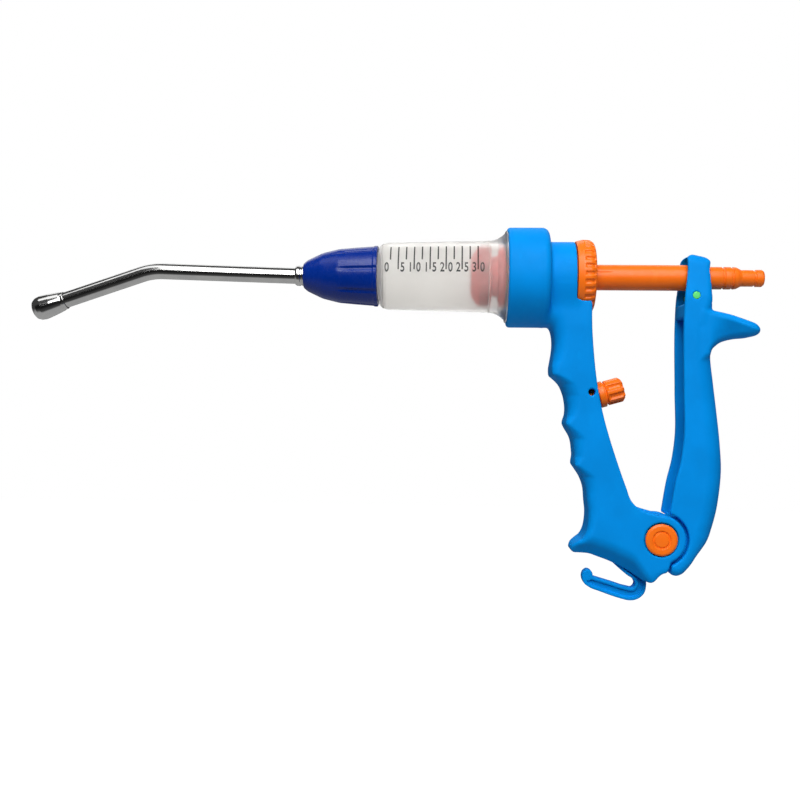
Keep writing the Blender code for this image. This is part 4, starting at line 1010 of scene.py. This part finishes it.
def nozzle_path():
    """The tube's centre line: coaxial, a slight rise, the bend, and the run down to the tip."""
    rise_start = np.array([RISE_START, 0.0, AXIS_Z])
    corner = np.array([BEND_X, 0.0, AXIS_Z + TUBE_RISE])
    rise = math.atan2(TUBE_RISE, RISE_START - BEND_X)
    turn = rise + BEND_DOWN
    first = corner - heading(rise) * BEND_R * math.tan(turn / 2)
    centre = first - BEND_R * np.array([math.sin(rise), 0.0, math.cos(rise)])
    angles = rise - turn * np.linspace(0.0, 1.0, 24)
    bend = centre + BEND_R * np.column_stack([np.sin(angles), np.zeros(24), np.cos(angles)])
    tip_start = corner + heading(-BEND_DOWN) * TIP_FROM_BEND
    end = tip_start + heading(-BEND_DOWN) * (TIP_SOCKET - GAP)
    return np.vstack([[(TUBE_REAR, 0.0, AXIS_Z)], [rise_start], bend, [end]]), tip_start


def make_nozzle():
    path, tip_start = nozzle_path()
    reach = np.concatenate([[0.0], np.cumsum(np.linalg.norm(np.diff(path, axis=0), axis=1))])
    length = reach[-1]

    def place(station):
        return np.column_stack([np.interp(station, reach, values) for values in path.T])

    def bent(station):
        ahead = place(station + 0.5) - place(station - 0.5)
        ahead /= np.linalg.norm(ahead, axis=1)[:, None]
        first = np.broadcast_to(np.array([0.0, -1.0, 0.0]), ahead.shape)
        return place(station), first, np.cross(first, ahead)

    wall = [(0.0, TUBE_R, 0.3), (length, TUBE_R, 0.3), (length, TUBE_BORE_R, 0.2), (0.0, TUBE_BORE_R, 0.2)]
    tube = turned("chrome_tube", fine(rounded(wall), 1.2, 0.0), CHROME, bent, 64)
    stand_for(tube, "chrome", "nozzle_tube")
    bulb = rounded([
        (16.2, 3.2, 0.4), (15.6, 4.4, 1.0), (14.0, 5.45, 2.0), (11.6, 5.85, 4.0), (7.0, 5.4, 8.0),
        (2.0, 4.65, 0.6), (1.4, 4.35, 0.3), (0.0, 4.35, 0.3), (0.0, TUBE_R + GAP),
        (TIP_SOCKET, TUBE_R + GAP), (TIP_SOCKET, 2.0), (15.4, 2.0), (16.2, 2.6, 0.2),
    ])
    tip = turned("chrome_tip", bulb, CHROME, straight(tip_start, heading(-BEND_DOWN)), 96)
    stand_for(tip, "chrome", "nozzle_tip")


def make_gland_ring():
    outline = rounded([
        (RING_REAR, 15.3, 0.5), (RING_REAR - 0.5, 16.4, 1.2), (RING_REAR - 2.2, RING_R, 3.0),
        (NECK_REAR + 3.2, RING_R + 0.1, 4.0), (NECK_REAR + GAP, RING_R - 0.7, 0.4),
        (NECK_REAR + GAP, GLAND_HOLE_R - FIT), (RING_PLUG, GLAND_HOLE_R - FIT, 0.2), (RING_PLUG, 10.2),
        (-7.6, 10.2), (-7.6, ROD_R + 0.45), (-1.4, ROD_R + 0.45, 0.4), (-1.4, 14.2, 0.6),
        (RING_REAR, 14.2, 0.4),
    ])

    def ribs(station, radius, turn):
        groove = groove_share(turn, 30, 0.0, RING_R, 1.7, 0.4)
        depth = 0.7 * step_up(station, -3.4, -2.6) * (1.0 - step_up(station, 1.0, 2.0))
        return radius - depth * groove * (radius > 15.2)

    ring = turned("gland_ring_ribbed", fine(outline, 0.35, 15.0), ORANGE, around=540, shape=ribs)
    stand_for(ring, "orange", "gland_ring")


def make_rod():
    outline = rounded([
        (ROD_REAR, ROD_NECK_R, 0.3), (ROD_SHOULDER, ROD_NECK_R, 0.2), (ROD_SHOULDER, ROD_R, 0.5),
        (ROD_FRONT, ROD_R, 0.3), (ROD_FRONT, 2.0), (ROD_FRONT + 2.0, 2.0), (ROD_FRONT + 2.0, 2.5),
        (ROD_REAR, 2.5, 0.2),
    ])

    def parting_groove(station, radius, turn):
        groove = groove_share(turn, 1, math.radians(19.0), ROD_R, 0.5, 0.15)
        depth = 0.25 * step_up(station, -14.0, -13.0) * (1.0 - step_up(station, 10.6, 11.4))
        return radius - depth * groove * (radius > 5.0)

    rod = turned("hollow_rod", fine(outline, 1.0, 5.0), ORANGE, around=192, shape=parting_groove)
    stand_for(rod, "orange", "piston_rod")


def make_tail():
    barb = 4.05
    outline = rounded([
        (TAIL_REAR, 3.3, 0.3), (TAIL_REAR - 0.9, barb, 0.4), (78.5, barb, 0.15), (78.1, 3.5, 0.15),
        (77.5, 3.5, 0.15), (77.2, 3.9, 0.15), (71.6, 3.9, 0.6), (69.4, 5.1, 0.6), (67.9, 5.3, 0.15),
        (67.5, 4.75, 0.1), (67.0, 4.75, 0.1), (66.7, 5.3, 0.15), (63.8, 5.3, 0.15), (63.4, 4.75, 0.1),
        (62.8, 4.75, 0.1), (62.5, 5.3, 0.15), (TAIL_FRONT, 5.3, 0.4), (TAIL_FRONT, ROD_NECK_R + GAP),
        (ROD_REAR + 1.3, ROD_NECK_R + GAP), (ROD_REAR + 1.3, 2.2), (TAIL_REAR, 2.2, 0.3),
    ])
    stand_for(turned("stepped_hose_tail", outline, ORANGE), "orange", "hose_tail")


def make_piston():
    outline = rounded([
        (PISTON_REAR, 14.2, 0.5), (-41.6, 14.2, 0.4), (-42.6, 9.6, 0.6), (-45.8, 9.6, 0.6),
        (-46.2, 14.2, 0.3), (-47.2, 14.2, 0.2), (-47.2, 11.5), (-51.3, 11.5), (-51.3, 14.2, 0.2),
        (-51.8, 14.2, 0.6), (-54.4, 11.2, 4.0), (PISTON_FRONT, 8.5, 0.8), (PISTON_FRONT, 4.4, 0.2),
        (ROD_FRONT - GAP, 4.4), (ROD_FRONT - GAP, ROD_R + GAP), (PISTON_REAR, ROD_R + GAP, 0.2),
    ])
    stand_for(turned("piston", outline, PINK), "pink", "piston_head")
    lips = rounded([
        (-47.5, 14.0, 0.3), (-48.6, 14.45, 0.4), (-49.2, 13.7, 0.3), (-49.9, 14.45, 0.4),
        (-51.0, 14.0, 0.3), (-51.0, 11.8, 0.2), (-47.5, 11.8, 0.2),
    ])
    stand_for(turned("piston_lip_seal", lips, SEAL), "seal", "piston_seal")


def make_pivot():
    """The pivot bolt with its cap on the near side, and the nut with a like cap on the far side."""
    inner = -CAP_SEAT - GAP
    outer = inner - CAP_THICK
    bolt_end, nut_floor = 10.8, 11.1
    cap = [
        (inner, CAP_R, 0.2), (outer + 0.55, CAP_R, 0.4), (outer, CAP_R - 0.9, 0.6),
        (outer - 0.05, 4.4, 0.2), (outer + 0.5, 4.1, 0.15), (outer + 0.5, 3.5, 0.15),
        (outer - 0.05, 3.2, 0.2), (outer - 0.08, 0.0),
    ]
    shank = [(bolt_end, 0.0), (bolt_end, BOLT_R, 0.4), (inner, BOLT_R)]
    bolt = turned("pivot_bolt_cap", rounded(shank + cap), ORANGE, PIVOT_LINE)
    stand_for(bolt, "orange", "pivot_bolt")
    socket_r = BOLT_R + GAP
    socket = [(nut_floor, 0.0), (nut_floor, socket_r), (-inner, socket_r)]
    far_cap = [(-station, *rest) for station, *rest in cap]
    nut = turned("pivot_nut_cap", rounded(socket + far_cap), ORANGE, PIVOT_LINE)
    stand_for(nut, "orange", "pivot_nut")


def make_head_pin():
    tip = LEVER_HALF + 0.1
    outline = rounded([(tip, 0.0), (tip - 0.1, PIN_R, 0.5), (-tip + 0.1, PIN_R, 0.5), (-tip, 0.0)])
    pin_line = straight((PIN_X, 0.0, PIN_Z), (0.0, 1.0, 0.0))
    stand_for(turned("green_pin", outline, GREEN, pin_line, 48), "green", "head_pin")


def make_dose_knob():
    end = 11.2
    collar_r = KNOB_R + 0.3
    outline = rounded([
        (end, 0.0), (end, KNOB_R - 1.5, 0.5), (end - 1.5, KNOB_R, 0.8), (3.0, KNOB_R, 0.25),
        (2.6, KNOB_R - 0.7, 0.2), (2.1, KNOB_R - 0.7, 0.2), (1.9, collar_r, 0.3), (-0.9, collar_r, 0.3),
        (-0.9, 3.25), (6.3, 3.25), (6.3, 0.0),
    ])

    def flutes(station, radius, turn):
        pitch = math.pi / 4
        off = np.abs(turn % pitch - pitch / 2) * KNOB_R
        scallop = np.sqrt(np.maximum(1.65**2 - off**2, 0.0)) - 0.55
        depth = np.maximum(scallop, 0.0) * step_up(station, 3.0, 4.2)
        return radius - depth * (radius > 4.0)

    knob = turned("dose_knob_fluted", fine(outline, 0.5, 4.0), ORANGE, KNOB_LINE, 240, flutes)
    stand_for(knob, "orange", "dose_knob")


def make_dose_bush():
    bush = rounded([
        (-1.3, 6.5, 0.3), (-9.7, 6.5, 0.3), (-9.7, 3.4, 0.2), (-4.6, 3.4), (-4.6, 5.2), (-1.3, 5.2, 0.2),
    ])
    stand_for(turned("dose_screw_bush", bush, ORANGE, KNOB_LINE), "orange", "dose_bush")


def make_dose_screw():
    """The stop screw, with a true helical thread."""
    pitch = 1.75
    end = -13.6
    outline = rounded([(6.0, 0.0), (6.0, 2.9, 0.2), (end, 2.9, 0.4), (end, 0.0)])

    def thread(station, radius, turn):
        phase = (station / pitch + turn / (2 * math.pi)) % 1.0
        valley = 0.5 * (1.0 - step_up(np.abs(phase - 0.5), 0.1, 0.4))
        depth = valley * (1.0 - step_up(station, -4.6, -3.8)) * step_up(station, end + 0.1, end + 0.8)
        return radius - depth * (radius > 2.5)

    screw = turned("dose_stop_screw", fine(outline, 0.15, 2.5), STEEL, KNOB_LINE, 48, thread)
    stand_for(screw, "steel", "dose_screw")


# Springs and inner pieces


def make_torsion_spring():
    """The handle spring: a coil round the pivot, with one leg towards the grip and one towards the lever."""
    coil_r, wire_r, pitch = 6.0, 0.6, 2.0
    grip_leg, lever_leg = 36.0, 34.0
    start, sweep = math.radians(210.0), math.radians(838.0)
    share = np.linspace(0.0, 1.0, 150)
    angle = start + sweep * share
    y = pitch * sweep / (2 * math.pi) * (share - 0.5)
    coil = np.column_stack([PIVOT_X + coil_r * np.cos(angle), y, PIVOT_Z + coil_r * np.sin(angle)])
    first, *_, last = np.column_stack([-np.sin(angle), 0.0 * angle, np.cos(angle)])
    path = np.vstack([[coil[0] - grip_leg * first], coil, [coil[-1] + lever_leg * last]])
    spring = wire("torsion_spring", path, wire_r, STEEL)
    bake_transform(spring)
    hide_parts("handle_spring")


def make_valve_springs():
    """Two short coils on the barrel axis, in place of the valve springs."""
    coil_r, wire_r = 2.2, 0.2
    for node, joint, turns in (("inlet_spring", "inlet_valve", 4), ("outlet_spring", "outlet_valve", 3)):
        low, high = span(node)
        share = np.linspace(0.0, 1.0, 32 * turns + 1)
        angle = 2 * math.pi * turns * share
        x = low[0] + wire_r + (high[0] - low[0] - 2 * wire_r) * share
        path = np.column_stack([x, coil_r * np.cos(angle), AXIS_Z + coil_r * np.sin(angle)])
        spring = stand_for(wire(node + "_wire", path, wire_r, STEEL, 8), "steel", node)
        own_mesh(spring)


def dress_inner_nodes():
    """CAD nodes that stay: small inner pieces, with softened edges and their own materials."""
    seals = ("barrel_gasket", "spigot_seal", "rod_wiper", "tail_washer", "dose_ring")
    mouldings = ("outlet_seat", "outlet_cage", "inlet_cage", "rod_bush")
    looks = dict.fromkeys(seals, BLACK_RUBBER)
    looks |= dict.fromkeys(mouldings, WHITE)
    looks |= dict.fromkeys(("inlet_ball", "outlet_ball"), STEEL)
    for name, material in looks.items():
        node = frame["nodes"][name]
        node.data.materials.clear()
        node.data.materials.append(material)
        node.data.shade_smooth()
        node.data.set_sharp_from_angle(angle=math.radians(35.0))
        if not name.endswith("ball"):
            bevel = node.modifiers.new("soft_edges", "BEVEL")
            bevel.width = 0.2 * MM
            bevel.segments = 2
            bevel.limit_method = "ANGLE"


# Stage


def make_floor():
    """A plain pale floor, well below the gun as it is held."""
    height = -0.34
    left, right, near, back = -2.5, 2.5, -0.45, 3.0
    mesh = bpy.data.meshes.new("floor")
    corners = [(left, near, height), (right, near, height), (right, back, height), (left, back, height)]
    mesh.from_pydata(corners, [], [(0, 1, 2, 3)])
    look = Look("floor_paper")
    look.set(base_color=look.mottle(6.0, (0.30, 0.30, 0.30), (0.32, 0.32, 0.32)))
    look.set(roughness=look.spread(look.noise(40.0), 0.8, 0.9))
    look.set(emission_color=(1.0, 1.0, 1.0, 1.0), emission_strength=0.97)
    mesh.materials.append(look.material)
    floor = add("floor", mesh)
    floor.visible_diffuse = False
    floor.visible_glossy = False
    floor.visible_transmission = False
    floor.visible_shadow = False


def make_world():
    """White for the camera and through the barrel. Otherwise grey below, dim above, dark past the camera."""
    world = bpy.data.worlds.new("studio")
    bpy.context.scene.world = world
    tree = Nodes(world)
    direction = tree.add("TexCoord", "Generated")
    y = tree.add("SeparateXYZ", "Y", ("Vector", direction))
    z = tree.add("SeparateXYZ", "Z", ("Vector", direction))

    def ramp(value, from_low, from_high, low, high):
        return tree.spread(value, low, high, from_low, from_high, interpolation_type="SMOOTHSTEP")

    def combine(operation, first, second):
        return tree.add("Math", "Value", (0, first), (1, second), operation=operation)

    past_camera = combine("MULTIPLY", ramp(y, -0.80, -0.45, 1.0, 0.0), ramp(z, 0.20, 0.50, 1.0, 0.0))
    sky = ramp(z, -0.6, -0.1, 0.52, 0.07)
    dim = combine("MULTIPLY", sky, ramp(past_camera, 0.0, 1.0, 1.0, 0.12))
    seen, through = [tree.add("LightPath", f"Is {ray} Ray") for ray in ("Camera", "Transmission")]
    white = combine("MAXIMUM", seen, through)
    background = tree.nodes["Background"]
    tree.feed(background.inputs["Color"], (1.0, 1.0, 1.0, 1.0))
    strength = tree.add("Mix", "Result", ("Factor", white), ("A", dim), ("B", 1.0))
    tree.feed(background.inputs["Strength"], strength)


def add_light(name, place, target, size, power):
    light = bpy.data.lights.new(name, "AREA")
    light.shape = "RECTANGLE"
    light.size, light.size_y = size
    light.energy = power
    item = add(name, light)
    item.location = place
    item.rotation_euler = (Vector(target) - Vector(place)).to_track_quat("-Z", "Y").to_euler()


def make_camera():
    """The photograph's view: from the side, level, with a slight roll."""
    place = Vector((-0.0648, -0.500, 0.0141))
    target = Vector((-0.0888, 0.0, 0.0141))
    roll = math.radians(0.65)
    focal_pixels = 1043.0
    image_pixels = 800.0
    camera = bpy.data.cameras.new("camera")
    camera.sensor_width = 36.0
    camera.lens = camera.sensor_width * focal_pixels / image_pixels
    camera.clip_start = 0.01
    item = add("camera", camera)
    turn = (target - place).to_track_quat("-Z", "Y").to_matrix().to_4x4() @ Matrix.Rotation(roll, 4, "Z")
    item.matrix_world = Matrix.Translation(place) @ turn
    bpy.context.scene.camera = item


def make_stage():
    make_floor()
    make_world()
    centre = (-0.06, 0.0, 0.02)
    add_light("key", (-0.06, -0.98, 0.84), centre, (0.9, 1.2), 21.5)
    add_light("top", (-0.45, -0.48, 1.15), centre, (1.3, 0.6), 4.0)
    add_light("back", (-0.06, 1.15, 1.00), centre, (2.0, 0.9), 7.0)
    make_camera()
    bpy.context.scene.view_settings.view_transform = "Standard"


def remove_startup_objects():
    for name in ("Cube", "Light", "Camera"):
        item = bpy.data.objects.get(name)
        if item is not None:
            bpy.data.objects.remove(item)


remove_startup_objects()
make_skinned("gun_body", "body_grip", "blue", BLUE, body_field, 2.0, 0.55)
make_hook()
make_skinned("squeeze_lever", "lever", "blue", BLUE, lever_field, 2.0, 0.5)
make_skinned("rod_yoke_block", "rod_yoke", "steel", STEEL, yoke_field, 1.0, 0.3)
make_barrel()
make_marks()
make_numerals()
make_front_nut()
make_ferrule()
make_nozzle()
make_gland_ring()
make_rod()
make_tail()
make_piston()
make_pivot()
make_head_pin()
make_dose_knob()
make_dose_screw()
make_dose_bush()
make_torsion_spring()
make_valve_springs()
dress_inner_nodes()
make_stage()
